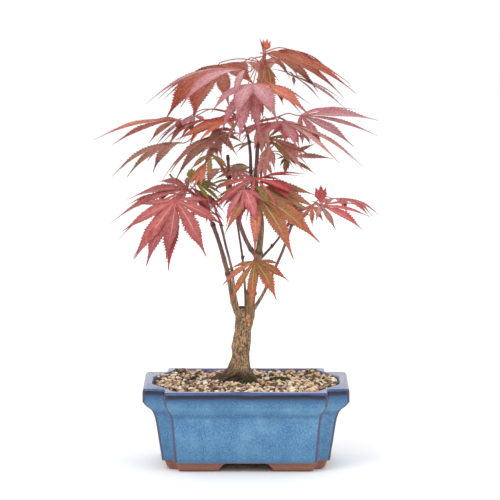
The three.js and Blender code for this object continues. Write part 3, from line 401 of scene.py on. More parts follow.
# The rule for the leaves of the side that is turned away, between these values.
HIDDEN = {
    "tries": 300, "at": (0.25, 1), "bearing": (-55, 55), "way_back": 45, "petiole": (20, 42),
    "rise": (-6, 10), "turn": (-20, 20), "slope": (-20, 2), "length": (42, 56), "sag": (30, 55),
    "spread": 1, "lobes": 7, "clear": 7.5, "apart": 24, "cover": 7, "furthest": 98, "look": 0.128,
}
# The drawer's factor, addend and how many states it has.
DRAW = (1664525, 1013904223, 2**32)
BONE_STEPS = 10
LINE_STEPS = 4


def linear(code):
    """A colour written as on a web page, as Blender's linear numbers, by the sRGB curve."""
    parts = [int(code[i : i + 2], 16) / 255 for i in (1, 3, 5)]
    return tuple(c / 12.92 if c <= 0.04045 else ((c + 0.055) / 1.055) ** 2.4 for c in parts)


def mixed(a, b, share):
    """A mix of two colours or points."""
    return np.asarray(a, dtype=float) * (1 - share) + np.asarray(b, dtype=float) * share


class Smooth:
    """A centripetal Catmull-Rom curve through points, with places given by share of its length."""

    DIVISIONS = 200

    def __init__(self, points):
        self.points = [np.array(p, dtype=float) for p in points]
        steps = [self.raw(i / self.DIVISIONS) for i in range(self.DIVISIONS + 1)]
        lengths = np.linalg.norm(np.diff(np.array(steps), axis=0), axis=1)
        self.lengths = np.concatenate([[0.0], np.cumsum(lengths)])

    def raw(self, t):
        pts = self.points
        place = (len(pts) - 1) * t
        i = min(int(math.floor(place)), len(pts) - 2)
        weight = place - i
        p1, p2 = pts[i], pts[i + 1]
        p0 = pts[i - 1] if i > 0 else 2 * pts[0] - pts[1]
        p3 = pts[i + 2] if i + 2 < len(pts) else 2 * pts[-1] - pts[-2]
        d0, d1, d2 = (float(np.sum((b - a) ** 2)) ** 0.25 for a, b in ((p0, p1), (p1, p2), (p2, p3)))
        t1 = ((p1 - p0) / d0 - (p2 - p0) / (d0 + d1) + (p2 - p1) / d1) * d1
        t2 = ((p2 - p1) / d1 - (p3 - p1) / (d1 + d2) + (p3 - p2) / d2) * d1
        c2 = -3 * p1 + 3 * p2 - 2 * t1 - t2
        c3 = 2 * p1 - 2 * p2 + t1 + t2
        return p1 + t1 * weight + c2 * weight**2 + c3 * weight**3

    def at(self, share):
        target = min(max(share, 0.0), 1.0) * self.lengths[-1]
        t = np.interp(target, self.lengths, np.linspace(0, 1, self.DIVISIONS + 1))
        return self.raw(float(t))

    def length(self):
        return float(self.lengths[-1])

    def tangent(self, share):
        step = 1e-3
        way = self.at(min(share + step, 1.0)) - self.at(max(share - step, 0.0))
        return way / np.linalg.norm(way)


def line(path):
    """The middle line of a limb or stem, as points a few millimetres apart."""
    curve = Smooth(path)
    steps = LINE_STEPS * len(path)
    return np.array([curve.at(i / steps) for i in range(steps + 1)])


def turned_by(angles):
    """A matrix that turns about X, then Y, then Z."""
    (cx, sx), (cy, sy), (cz, sz) = ((math.cos(a), math.sin(a)) for a in angles)
    about_x = np.array([[1, 0, 0], [0, cx, -sx], [0, sx, cx]])
    about_y = np.array([[cy, 0, sy], [0, 1, 0], [-sy, 0, cy]])
    about_z = np.array([[cz, -sz, 0], [sz, cz, 0], [0, 0, 1]])
    return about_z @ about_y @ about_x


def leaf_frame(aim):
    """The frame of a leaf: its middle lobe's way, its left side and its upper face."""
    bearing, slope, roll = (a * DEG for a in aim)
    return turned_by((roll, -slope, bearing)).T


def lobe_path(hub, direction, length, sag):
    """The way a lobe runs out from the hub: it keeps its bearing and bends down evenly to its tip."""
    level = np.array([direction[0], direction[1], 0.0])
    level /= np.linalg.norm(level)
    slope = math.asin(max(-1.0, min(1.0, direction[2])))
    bend = max(LEAF["least_bend"], min(sag * DEG, slope + LEAF["steepest"] * DEG)) / length
    hub = np.asarray(hub, dtype=float)

    def place(distance):
        now = slope - bend * distance
        out = (math.sin(slope) - math.sin(now)) / bend
        rise = (math.cos(now) - math.cos(slope)) / bend
        spot = hub + level * out + np.array([0, 0, rise])
        return spot, level * math.cos(now) + np.array([0, 0, math.sin(now)])

    return place


def lobe_ways(leaf):
    """The lobes of a leaf: how far each reaches, the side it is broad to, and its way from the hub."""
    _, hub, aim, length, sag, spread, lobes = leaf[:7]
    ahead, left, face = leaf_frame(aim)
    middle = (lobes - 1) / 2
    ways = []
    for i in range(lobes):
        angle = (i - middle) * LEAF["lobe_step"] * spread * DEG
        reach = length * LEAF["lobe_lengths"][int(abs(i - middle))]
        direction = ahead * math.cos(angle) + left * math.sin(angle)
        ways.append((reach, np.cross(face, direction), lobe_path(hub, direction, reach, sag)))
    return ways


def bones(leaf):
    """The points that stand for a leaf's lobes when room is looked for."""
    shares = [(i + 1) / BONE_STEPS for i in range(BONE_STEPS)]
    return [way(share * reach)[0] for reach, _, way in lobe_ways(leaf) for share in shares]


def drawer(seed):
    """Numbers between two limits, in an order that the seed settles."""
    times, plus, many = DRAW
    state = [seed]

    def draw(limits):
        state[0] = (state[0] * times + plus) % many
        return limits[0] + (limits[1] - limits[0]) * state[0] / many

    return draw


def nearest(points, others):
    """How near each point comes to any of the others."""
    if not len(others):
        return np.full(len(points), np.inf)
    gaps = np.asarray(points)[:, None, :] - np.asarray(others)[None, :, :]
    return np.sqrt((gaps**2).sum(axis=2).min(axis=1))


def grown_leaves(seed):
    """The leaves of each mass with those that its hidden side grows, by the rule of the CAD."""
    draw = drawer(seed)
    limbs = np.concatenate([line(bough[1]) for bough in BOUGHS])
    front = np.array([p for mass in MASSES for leaf in mass[5] for p in bones(leaf)])
    seen = np.stack([front[:, 0], front[:, 2] + HIDDEN["look"] * front[:, 1]], axis=1)
    spaces = [list(line(mass[1])) + [p for leaf in mass[5] for p in bones(leaf)] for mass in MASSES]
    hubs = [np.array(leaf[1], dtype=float) for mass in MASSES for leaf in mass[5]]

    def behind(points):
        for p in points:
            if p[1] >= HIDDEN["furthest"]:
                return False
            flat = np.array([p[0], p[2] + HIDDEN["look"] * p[1]])
            near = ((seen - flat) ** 2).sum(axis=1) < HIDDEN["cover"] ** 2
            if not np.any(near & (front[:, 1] < p[1])):
                return False
        return True

    result = []
    for own, (_, stem, _, count, look, leaves) in enumerate(MASSES):
        grown = []
        curve = Smooth(stem)
        way_out = math.atan2(HIDDEN["way_back"], stem[-1][0]) / DEG
        for _ in range(HIDDEN["tries"]):
            if len(grown) >= count:
                break
            at = draw(HIDDEN["at"])
            bearing = way_out + draw(HIDDEN["bearing"])
            reach = draw(HIDDEN["petiole"])
            way = np.array([math.cos(bearing * DEG), math.sin(bearing * DEG), 0.0])
            hub = curve.at(at * STEM_END) + reach * way + (0, 0, draw(HIDDEN["rise"]))
            aim = (bearing + draw(HIDDEN["turn"]), draw(HIDDEN["slope"]), 0)
            length = draw(HIDDEN["length"])
            sag = draw(HIDDEN["sag"])
            leaf = (at, tuple(hub), aim, length, sag, HIDDEN["spread"], HIDDEN["lobes"], look)
            if nearest([hub], hubs)[0] <= HIDDEN["apart"]:
                continue
            points = bones(leaf)
            room = behind(points) and nearest(points, limbs).min() > HIDDEN["clear"]
            room = room and all(
                i == own or nearest(points, space).min() > HIDDEN["clear"] for i, space in enumerate(spaces)
            )
            if room:
                grown.append(leaf)
                hubs.append(hub)
                spaces[own].extend(points)
        result.append(list(leaves) + grown)
    return result


class Build:
    """Corners, faces and corner values of one piece, in millimetres from the middle of the pot."""

    def __init__(self):
        self.corners = []
        self.faces = []
        self.values = {}

    def add(self, corners, faces, **values):
        """Adds a shape, with one value a corner for each named attribute."""
        start = len(self.corners)
        self.corners.extend(corners)
        self.faces.extend([tuple(start + i for i in face) for face in faces])
        for name, given in values.items():
            self.values.setdefault(name, []).extend(given)

    def piece(self, name, degrees):
        """The finished mesh object, with its corners in the frame's metres."""
        mesh = bpy.data.meshes.new(name)
        places = (np.array(self.corners) + POT_AT) * MM
        mesh.from_pydata(places.tolist(), [], self.faces)
        for key, given in self.values.items():
            kind = "FLOAT" if np.ndim(given[0]) == 0 else "FLOAT_COLOR"
            layer = mesh.attributes.new(key, kind, "POINT")
            if kind == "FLOAT":
                layer.data.foreach_set("value", np.array(given, dtype=float))
            else:
                flat = np.concatenate([np.array(given, dtype=float), np.ones((len(given), 1))], axis=1)
                layer.data.foreach_set("color", flat.ravel())
        mesh.validate()
        mesh.update()
        result = bpy.data.objects.new(name, mesh)
        bpy.context.collection.objects.link(result)
        smoothed(result, degrees)
        return result


def alone(piece):
    """Makes a piece the only one selected, and the active one."""
    bpy.ops.object.select_all(action="DESELECT")
    piece.select_set(True)
    bpy.context.view_layer.objects.active = piece


def finished(piece, node, slot, material):
    """Gives a piece its material and its body, and hides the CAD node it stands for. Its slot is not used."""
    piece.data.materials.clear()
    piece.data.materials.append(material)
    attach(piece, "root")
    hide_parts(node)


# A limb's node: how much it swells and how far along. Its bark: how close its unevenness lies round the
# limb and along it. Its ends: how far they stand out, as a share of the radius. Its first corner: a way that
# no limb takes.
LIMB = {
    "swell": 0.3, "swell_reach": 1.7, "round": 1.3, "along": 0.16, "cap": 0.35, "first": (0.3, 1.0, 0.2),
}


def tube(curve, radii, sides, steps, swell=None, uneven=0.0, seed=0):
    """A tapering limb's corners and faces with rounded ends, and how far along each corner lies."""
    shares = np.linspace(0, 1, steps + 1)
    spots = [curve.at(s) for s in shares]
    ways = [curve.tangent(s) for s in shares]
    side = np.cross(ways[0], LIMB["first"])
    side /= np.linalg.norm(side)
    corners, along = [], []
    for share, spot, way in zip(shares, spots, ways):
        side = side - way * np.dot(side, way)
        side /= np.linalg.norm(side)
        other = np.cross(way, side)
        radius = float(np.interp(share, np.linspace(0, 1, len(radii)), radii))
        if swell:
            away = [(share - s) * curve.length() / LIMB["swell_reach"] for s in swell]
            radius *= 1 + sum(LIMB["swell"] * math.exp(-(a**2)) for a in away)
        for i in range(sides):
            angle = 2 * math.pi * i / sides
            out = side * math.cos(angle) + other * math.sin(angle)
            r = radius
            if uneven:
                r += uneven * radius * noise.noise(Vector(out * LIMB["round"] + spot * LIMB["along"] + seed))
            corners.append(spot + out * r)
            along.append(share)
    faces = []
    for ring in range(steps):
        for i in range(sides):
            a, b = ring * sides + i, ring * sides + (i + 1) % sides
            faces.append((a, b, b + sides, a + sides))
    for which, way in ((0, -ways[0]), (-1, ways[-1])):
        flip = which == 0
        ring = 0 if flip else steps * sides
        corners.append(spots[which] + way * radii[which] * LIMB["cap"])
        along.append(shares[which])
        end = len(corners) - 1
        for i in range(sides):
            a, b = ring + i, ring + (i + 1) % sides
            faces.append((b, a, end) if flip else (a, b, end))
    return corners, faces, along


class Value:
    """A number socket of a material, whose sums are Math nodes."""

    def __init__(self, graph, socket):
        self.graph = graph
        self.socket = socket

    def math(self, operation, *others, first=True):
        terms = [self, *others] if first else [*others, self]
        return self.graph.node("ShaderNodeMath", {"operation": operation}, dict(enumerate(terms)))

    def __add__(self, other):
        return self.math("ADD", other)

    __radd__ = __add__

    def __mul__(self, other):
        return self.math("MULTIPLY", other)

    __rmul__ = __mul__

    def __sub__(self, other):
        return self.math("SUBTRACT", other)

    def __rsub__(self, other):
        return self.math("SUBTRACT", other, first=False)

    def __truediv__(self, other):
        return self.math("DIVIDE", other)

    def ramp(self, low, high):
        """0 below low, 1 above high and even between."""
        limits = {0: self, 1: low, 2: high, 3: 0.0, 4: 1.0}
        return self.graph.node("ShaderNodeMapRange", {"clamp": True}, limits)


class Graph:
    """The nodes of one material, added by type, settings and inputs."""

    def __init__(self, name):
        self.material = bpy.data.materials.new(name)
        self.material.use_nodes = True
        self.tree = self.material.node_tree
        self.shader = self.tree.nodes["Principled BSDF"]

    def link(self, socket, given):
        if isinstance(given, Value):
            self.tree.links.new(given.socket, socket)
        else:
            socket.default_value = given

    def node(self, kind, settings, inputs, output=0):
        """Adds a node, and gives one of its outputs. A ramp's settings are its stops and its steps."""
        made = self.tree.nodes.new(kind)
        for key, given in settings.items():
            if key == "stops":
                self.set_stops(made.color_ramp.elements, given)
            elif key == "steps":
                made.color_ramp.interpolation = given
            else:
                setattr(made, key, given)
        for key, given in inputs.items():
            self.link(made.inputs[key], given)
        return Value(self, made.outputs[output])

    def set_stops(self, elements, stops):
        while len(elements) < len(stops):
            elements.new(0.5)
        for element, (place, colour) in zip(elements, stops):
            element.position = place
            element.color = (*colour, 1)

    def attribute(self, name, colour=False):
        return self.node("ShaderNodeAttribute", {"attribute_name": name}, {}, "Color" if colour else "Fac")

    def place(self, stretch=(1, 1, 1)):
        """Object coordinates in millimetres times a stretch."""
        spot = self.node("ShaderNodeTexCoord", {}, {}, "Object")
        scale = tuple(1000 * s for s in stretch)
        return self.node("ShaderNodeVectorMath", {"operation": "MULTIPLY"}, {0: spot, 1: scale})

    def axis(self, vector, which):
        return self.node("ShaderNodeSeparateXYZ", {}, {0: vector}, "XYZ".index(which))

    def noise(self, vector, scale, detail=3.0, rough=0.55):
        inputs = {"Vector": vector, "Scale": scale, "Detail": detail, "Roughness": rough}
        return self.node("ShaderNodeTexNoise", {}, inputs, "Fac")

    def cells(self, vector, scale, output="Distance"):
        inputs = {"Vector": vector, "Scale": scale}
        return self.node("ShaderNodeTexVoronoi", {"feature": "F1"}, inputs, output)

    def mix(self, share, a, b, blend="MIX"):
        """A colour between a and b."""
        a, b = (c if isinstance(c, Value) else (*c, 1) for c in (a, b))
        settings = {"data_type": "RGBA", "blend_type": blend}
        return self.node("ShaderNodeMix", settings, {0: share, 6: a, 7: b}, 2)

    def between(self, mask, limits, low, high):
        """One colour where a mask lies under two limits, another over them and a blend between."""
        return self.mix(mask.ramp(*limits), low, high)

    def toned(self, colour, mask, limits, strength, code):
        """A colour with another over it, where a mask lies between two limits, and by a strength."""
        return self.mix(mask.ramp(*limits) * strength, colour, linear(code))

    def shaded(self, colour, share, code):
        """A colour darkened by another, by a share."""
        return self.mix(share, colour, self.mix(1.0, colour, linear(code), "MULTIPLY"))

    def dealt(self, share, codes):
        """Plain colours, dealt out evenly by a share with no blend between them."""
        stops = [(i / len(codes), linear(code)) for i, code in enumerate(codes)]
        return self.node("ShaderNodeValToRGB", {"stops": stops, "steps": "CONSTANT"}, {0: share})

    def bump(self, height, distance):
        """A relief whose height is given as a share of a distance in millimetres."""
        inputs = {"Height": height, "Distance": distance * MM, "Strength": 1.0}
        return self.node("ShaderNodeBump", {}, inputs, "Normal")

    def surface(self, **sockets):
        """Feeds the shader's sockets, named in lower case with underscores."""
        for key, given in sockets.items():
            self.link(self.shader.inputs[key.replace("_", " ").title()], given)
        return self.material


# Tones of the glaze by height in millimetres: where each comes, where it goes again if it does, its strength
# and its colour. The first is painted shade under the lip's roll and the second a painted highlight on its
# curve. Then its dark line under the lip and how wavy that is, the lip's top, whose pale lilac is partly
# painted reflection, and where it ends.
GLAZE_TONES = [
    # Painted shade: a dark band under the lip's roll.
    ((48.0, 50.5), (54.5, 52.0), 0.4, "#24507c"),
    # Painted highlight: a pale band on the lip's curve.
    ((52.5, 55.0), (60.5, 57.5), 0.15, "#7fb0cf"),
    ((34.0, 10.0), None, 0.3, "#3f6685"),
    ((14.0, 9.0), None, 0.4, "#27527e"),
    ((60.0, 68.0), None, 0.95, "#174472"),
    ((71.0, 72.0), None, 0.8, "#3d5c98"),
]
DARK_LINE = {"comes": (67.2, 69.2), "goes": (72.2, 71.0), "wave": 3.0}
RIM = (73.15, 73.35)
GLAZE_END = {"height": (9.1, 8.5), "wave": 1.6}
GRAIN_COLOURS = [
    "#fff4dc", "#e8ccac", "#fffaf0", "#deb690", "#bd9478", "#7a5c4a", "#faeaca", "#46342a", "#d0a486",
    "#9a765c", "#2f231c", "#ead890", "#e0c0a2", "#b8aea4", "#5b4436", "#8a6a54", "#f2cca4", "#3a2c22",
]
# Heights in millimetres over which the trunk grows darker towards its foot and the shoots' bark grows old.
FOOT_DARKENING = (89.0, 79.0)
OLD_SHOOTS = {"height": (195.0, 160.0), "wave": 40}
# Side veins of a leaf: how far apart they stand in millimetres, how they slant, and how wide each shows.
VEINS = {"apart": 2.6, "slant": 1.5, "width": 0.16}


def glaze():
    """Streaked blue glaze that thins to brown on its edges, over an unglazed foot, with painted shade,
    highlight and reflection at its lip.
    """
    look = bpy.context.scene.maple_pot
    g = Graph("blue_glaze")
    spot = g.place()
    height = g.axis(spot, "Z")
    streaks = g.noise(g.place((1, 1, 0.5)), 0.09, 4.0)
    grit = g.noise(g.place((1, 1, 0.7)), 1.1, 2.0, 0.7)
    speckle = g.noise(spot, 1.9, 1.0)
    pools = g.noise(spot, 0.045, 2.0)
    blue = g.between(streaks, (0.35, 0.65), look.glaze_dark, look.glaze)
    blue = g.mix(pools.ramp(0.48, 0.68) * 0.5, blue, look.glaze_pale)
    blue = g.toned(blue, grit, (0.5, 0.72), 0.45, "#8fb6d2")
    blue = g.toned(blue, grit, (0.48, 0.3), 0.55, "#2b5a86")
    blue = g.toned(blue, speckle, (0.66, 0.76), 0.5, "#1e3d61")
    for comes, goes, strength, code in GLAZE_TONES:
        band = height.ramp(*comes) * height.ramp(*goes) if goes else height.ramp(*comes)
        blue = g.mix(band * strength, blue, linear(code))
    wavy = height + (pools - 0.5) * DARK_LINE["wave"]
    dark_line = wavy.ramp(*DARK_LINE["comes"]) * wavy.ramp(*DARK_LINE["goes"])
    blue = g.mix(dark_line, blue, linear("#1a1122"))
    inner = g.between(grit, (0.4, 0.62), linear("#566a9c"), linear("#8796bc"))
    blue = g.mix(g.attribute("inner"), blue, inner)
    # The rim's top in lilac blues: the glaze's colour, partly painted reflection of the white surroundings.
    rim = g.between(grit, (0.4, 0.62), linear("#414e7c"), linear("#7680a8"))
    blue = g.between(height, RIM, blue, rim)
    thin = (g.attribute("edge") + (grit - 0.5) * 0.35).ramp(0.2, 0.75)
    glazed = g.mix(thin * 0.9, blue, g.between(speckle, (0.4, 0.6), linear("#2a1e30"), linear("#524260")))
    grain = g.noise(spot, 2.2, 4.0)
    clay = g.between(grain, (0.35, 0.65), look.clay_dark, look.clay)
    bare = (height + (g.noise(spot, 0.35, 2.0) - 0.5) * GLAZE_END["wave"]).ramp(*GLAZE_END["height"])
    roughness = 0.14 + bare * 0.62 + speckle * 0.08
    relief = g.bump(grit * 0.12 + streaks * 0.5 + grain * bare * 0.6, 0.4)
    return g.surface(base_color=g.mix(bare, glazed, clay), roughness=roughness, normal=relief)


def granules():
    """Loose mineral grains, each of one plain colour with a dusty grain, and darkened towards its foot by
    painted shade.
    """
    g = Graph("soil_granules")
    spot = g.place()
    grain = g.noise(spot, 2.5, 3.0)
    colour = g.dealt(g.attribute("kind"), GRAIN_COLOURS)
    # Painted shade: each grain darkens to near black towards its foot, where the grains shade each other.
    colour = g.toned(colour, g.attribute("damp"), (0.25, 0.62), 0.96, "#1c130c")
    colour = g.toned(colour, grain, (0.4, 0.65), 0.35, "#5a4636")
    colour = g.toned(colour, g.noise(spot, 1.0, 2.0), (0.5, 0.7), 0.25, "#e3d6bd")
    return g.surface(base_color=colour, roughness=0.95, normal=g.bump(grain, 0.3))


def earth():
    """The packed soil under the loose granules: dark brown soil deepened to near black, painted shade in the
    gaps between them.
    """
    g = Graph("soil_bed")
    spot = g.place()
    tone = g.node("ShaderNodeSeparateColor", {}, {0: g.cells(spot, 0.28, "Color")}, 0)
    # Near black to dark brown: the soil's own dark brown, deepened into painted shade of the gaps between the
    # grains.
    stops = [(0.0, linear("#0e0a07")), (0.5, linear("#211810")), (1.0, linear("#403020"))]
    colour = g.node("ShaderNodeValToRGB", {"stops": stops}, {0: tone})
    return g.surface(base_color=colour, roughness=0.98, normal=g.bump(g.cells(spot, 0.28), 0.8))


def moss():
    """Short dark green moss."""
    g = Graph("moss")
    tone = g.noise(g.place(), 0.9, 3.0)
    colour = g.between(tone, (0.35, 0.65), linear("#17180c"), linear("#474a20"))
    return g.surface(base_color=colour, roughness=0.95, normal=g.bump(tone, 0.4))


def old_bark():
    """Fissured tan and brown bark with olive patches and a pale scar."""
    look = bpy.context.scene.maple_tree
    g = Graph("old_bark")
    spot = g.place()
    stretched = g.place((1, 1, 0.3))
    plates = g.noise(stretched, 0.22, 4.0)
    cracks = g.noise(stretched, 0.55, 4.0, 0.65)
    fine = g.noise(g.place((1, 1, 0.6)), 0.8, 3.0, 0.6)
    cut, scar = g.attribute("cut"), g.attribute("scar")
    colour = g.between(plates, (0.38, 0.62), look.bark, linear("#b8906e"))
    colour = g.toned(colour, g.noise(spot, 0.12, 2.0), (0.5, 0.62), 0.7, "#6f6843")
    colour = g.toned(colour, g.noise(stretched, 0.34, 4.0), (0.5, 0.62), 0.6, "#5f4936")
    crack = (1 - cracks.ramp(0.4, 0.52)) * (1 - cut)
    colour = g.mix(crack * 0.9, colour, look.bark_dark)
    colour = g.toned(colour, fine, (0.53, 0.64), 0.65, "#dcb795")
    colour = g.toned(colour, fine, (0.46, 0.36), 0.6, "#46301f")
    # The trunk grows darker towards its foot.
    damp = g.axis(spot, "Z").ramp(*FOOT_DARKENING) * (0.7 + fine * 0.5)
    colour = g.mix(damp * 0.9, colour, g.between(plates, (0.5, 0.6), linear("#281c13"), linear("#50412a")))
    colour = g.between(scar, (0.02, 0.2), colour, linear("#49301f"))
    bare = g.between(fine, (0.4, 0.6), linear("#8a5836"), linear("#dca878"))
    colour = g.between(scar, (0.35, 0.6), colour, bare)
    colour = g.mix(cut, colour, linear("#3a2c22"))
    return g.surface(base_color=colour, roughness=0.88, normal=g.bump(cracks * 0.8 + fine * 0.25, 0.7))


def leader_bark():
    """Olive-brown bark of the leader, streaked with tan and dark."""
    g = Graph("leader_bark")
    streaks = g.noise(g.place((1, 1, 0.2)), 0.5, 4.0)
    fine = g.noise(g.place((1, 1, 0.4)), 1.8, 3.0)
    colour = g.between(streaks, (0.38, 0.6), linear("#5b4a34"), linear("#8f7350"))
    colour = g.toned(colour, fine, (0.56, 0.75), 0.6, "#b8946e")
    colour = g.toned(colour, fine, (0.42, 0.34), 0.6, "#3a2a24")
    colour = g.mix(g.attribute("node") * 0.75, colour, linear("#3b2722"))
    return g.surface(base_color=colour, roughness=0.75, normal=g.bump(streaks + fine * 0.4, 0.4))


def shoot_bark():
    """Smooth maroon-brown bark of the younger shoots, dark at nodes and tan where it grows old."""
    look = bpy.context.scene.maple_tree
    g = Graph("shoot_bark")
    spot = g.place()
    streaks = g.noise(g.place((1, 1, 0.12)), 0.9, 3.0)
    fine = g.noise(spot, 1.5, 2.0)
    colour = g.between(streaks, (0.4, 0.62), look.shoot, linear("#7c5250"))
    colour = g.toned(colour, fine, (0.6, 0.72), 0.5, "#a98a84")
    aged = (g.axis(spot, "Z") + (fine - 0.5) * OLD_SHOOTS["wave"]).ramp(*OLD_SHOOTS["height"])
    old = g.between(streaks, (0.42, 0.56), linear("#5c4632"), linear("#a5835e"))
    colour = g.mix(aged * 0.85, colour, old)
    colour = g.mix(g.attribute("node") * 0.8, colour, linear("#2e1c1c"))
    return g.surface(base_color=colour, roughness=0.55, normal=g.bump(fine + streaks, 0.2))


def leaf_material(name):
    """A leaf's colours, its underside brightened by painted light shining through, with a pale midrib and
    fine side veins.
    """
    g = Graph(name)
    spot = g.place()
    across = g.attribute("across").math("ABSOLUTE")
    mottle = g.noise(spot, 0.35, 3.0)
    fine = g.noise(spot, 2.4, 2.0)
    vein = (g.attribute("along") / VEINS["apart"] - across * VEINS["slant"]).math("FRACT")
    side_vein = 1 - (vein - 0.5).math("ABSOLUTE").ramp(0.0, VEINS["width"])
    rib = (1 - across.ramp(0.03, 0.12)) * (1 - g.attribute("share").ramp(0.2, 0.8))
    colour = g.shaded(g.attribute("tint", colour=True), mottle.ramp(0.42, 0.62) * 0.55, "#b3a294")
    colour = g.toned(colour, fine, (0.5, 0.7), 0.22, "#f0d0c8")
    colour = g.shaded(colour, side_vein * 0.4, "#ab8680")
    colour = g.mix(rib * 0.7, colour, linear("#e6b49c"))
    relief = g.bump(side_vein * -0.5 + rib * 0.6 + mottle * 0.3, 0.3)
    return g.surface(base_color=colour, roughness=0.52 + mottle * 0.15, normal=relief)


def petiole_material():
    """Red-brown leaf stalks."""
    g = Graph("leaf_stalk")
    tone = g.noise(g.place(), 0.4, 2.0)
    colour = g.between(tone, (0.4, 0.6), linear("#8c4642"), linear("#b86a5e"))
    return g.surface(base_color=colour, roughness=0.5)


# A blade in millimetres and degrees: how far apart its teeth stand and how far they point forwards, where
# they end, how deep they are cut and how the blade folds, twists, curls and lies over its neighbours. Then
# how far a lobe may fill its share of the leaf, how its tip's colour comes, and how thin it grows.
BLADE = {
    "tooth": 2.7, "forward": 0.55, "toothed": (0.2, 0.88), "cut": 0.76, "fold": 0.22, "fold_curve": 1.4,
    "twist": 18, "curl": 0.025, "lift": 0.12, "slack": 0.3, "inside_sector": 17.5, "least_spread": 0.35,
    "overlap": 1.03, "at_hub": 0.15, "half_width": (0.94, 1.08), "least_width": 0.16, "least_thick": 0.1,
    "thinner": 0.6, "tip_share": 0.22, "tip_curve": 1.3, "edge_tint": 0.6,
}
# A tooth: how few a lobe has, how uneven it stands, its depth, its point's width and place, and how the
# first ones grow.
TOOTH = {
    "fewest": 4, "uneven": 0.16, "depth": (0.85, 1.1), "width": (0.94, 1.1), "point": 0.72,
    "first": 0.35, "growth": 4,
}
# Where a lobe's edge is whole, under its teeth and past them: place along it and share of its width.
WHOLE_BASE = [(0.0, 1.0), (0.06, 1.0), (0.11, 1.0)]
WHOLE_TIP = [(0.9, 0.9), (0.93, 1.0), (0.96, 1.0), (1.0, 1.0)]
# The corners across a blade: five on its face and three on its underside, in the order they lie round it.
COLUMNS = (-1.0, -0.5, 0.0, 0.5, 1.0)
ROUND = (0, 1, 2, 3, 4, 7, 6, 5)
PETIOLE = {"start": 1.25, "rise": 0.12, "behind": 0.06, "under": 0.1, "past": 0.04, "steps": 14, "sides": 6}
STEM = {"sides": 10, "steps": 40, "uneven": 0.08}
BUD = {
    "radii": (0.5, 0.75, 0.15), "base": 0.6, "middle": 0.4, "sides": 8, "steps": 6, "dark": 0.7, "lean": 0.6,
}
# How far along a limb its nodes show dark, and how far the tones of a leaf and of its lobes differ.
NODE_REACH = 1.3
LEAF_TONE = (0.92, 1.1)
LOBE_TONE = (0.93, 1.07)


def stations(reach, rng):
    """Places along a lobe with the share of its width there and how far its edge points forwards."""
    first, last = BLADE["toothed"]
    result = [(*spot, 0.0) for spot in WHOLE_BASE]
    teeth = max(TOOTH["fewest"], round(reach * (last - first) / BLADE["tooth"]))
    step = (last - first) / teeth
    for i in range(teeth):
        place = first + (last - first) * (i + rng.uniform(-TOOTH["uneven"], TOOTH["uneven"])) / teeth
        depth = rng.uniform(*TOOTH["depth"])
        grown = min(1.0, TOOTH["first"] + (place - first) * TOOTH["growth"])
        result.append((place, 1 - (1 - BLADE["cut"]) * depth * grown, 0.0))
        point = rng.uniform(*TOOTH["width"])
        result.append((place + TOOTH["point"] * step, point, BLADE["forward"] * depth))
    return result + [(*spot, 0.0) for spot in WHOLE_TIP]


def lobe_width(share, reach, half, sector, broad):
    """A lobe's half-width without its teeth, kept inside its share of the leaf."""
    past_sinus = max(0.0, share - LEAF["sinus"]) * reach * BLADE["slack"] * broad
    room = share * reach * sector * BLADE["overlap"] + past_sinus + BLADE["at_hub"]
    return min(float(np.interp(share, LOBE_SHARES, LOBE_WIDTHS)) * half, room)


def add_lobe(build, lobe, spread, colours, broad, thickness, rng):
    """Adds one toothed lobe as a thin closed blade."""
    reach, side, way = lobe
    face_colour, underside_with_glow, tip_colour = colours
    half = LEAF["half_width"] * reach * broad * rng.uniform(*BLADE["half_width"])
    twist = rng.uniform(-1, 1) * BLADE["twist"] * DEG
    curl = rng.uniform(-1, 1) * BLADE["curl"] * reach
    lift = rng.uniform(-BLADE["lift"], BLADE["lift"])
    sector = math.tan(BLADE["inside_sector"] * DEG * max(spread, BLADE["least_spread"]))
    corners, tints, across, along, shares = [], [], [], [], []
    rows = stations(reach, rng)
    for share, width_share, forward in rows:
        middle, tangent = way(share * reach)
        turned = side * math.cos(twist * share) + np.cross(tangent, side) * math.sin(twist * share)
        turned /= np.linalg.norm(turned)
        face = np.cross(tangent, turned)
        middle = middle + turned * (curl * math.sin(math.pi * share)) + face * lift
        width = max(lobe_width(share, reach, half, sector, broad) * width_share, BLADE["least_width"])
        thick = max(BLADE["least_thick"], thickness * (1 - BLADE["thinner"] * share))
        fold = BLADE["fold"] * width
        flat, rise = [], []
        for column in COLUMNS:
            out = abs(column)
            folded = face * (fold * out ** BLADE["fold_curve"])
            flat.append(middle + turned * (column * width) + tangent * (forward * out**2) + folded)
            rise.append(0.0 if out == 1.0 else thick * (1 - BLADE["thinner"] * out) / 2)
        corners.extend([spot + face * up for spot, up in zip(flat, rise)])
        corners.extend([spot - face * up for spot, up in list(zip(flat, rise))[1:4]])
        tip = max(0.0, (share - BLADE["tip_share"]) / (1 - BLADE["tip_share"])) ** BLADE["tip_curve"]
        sides = [(column, face_colour) for column in COLUMNS]
        # The underside's colour is partly painted light shining through the leaf.
        sides += [(column, underside_with_glow) for column in COLUMNS[1:4]]
        for column, colour in sides:
            edge = BLADE["edge_tint"] * abs(column) ** 3
            tints.append(mixed(colour, tip_colour, min(1.0, tip + edge * (1 - tip))))
            across.append(column)
            along.append(share * reach)
            shares.append(share)
    faces = []
    around = len(ROUND)
    for row in range(len(rows) - 1):
        a, b = around * row, around * (row + 1)
        for i, j in zip(ROUND, (*ROUND[1:], ROUND[0])):
            faces.append((a + i, a + j, b + j, b + i))
    last = around * (len(rows) - 1)
    faces += [ROUND, tuple(last + i for i in reversed(ROUND))]
    build.add(corners, faces, tint=tints, across=across, along=along, share=shares)


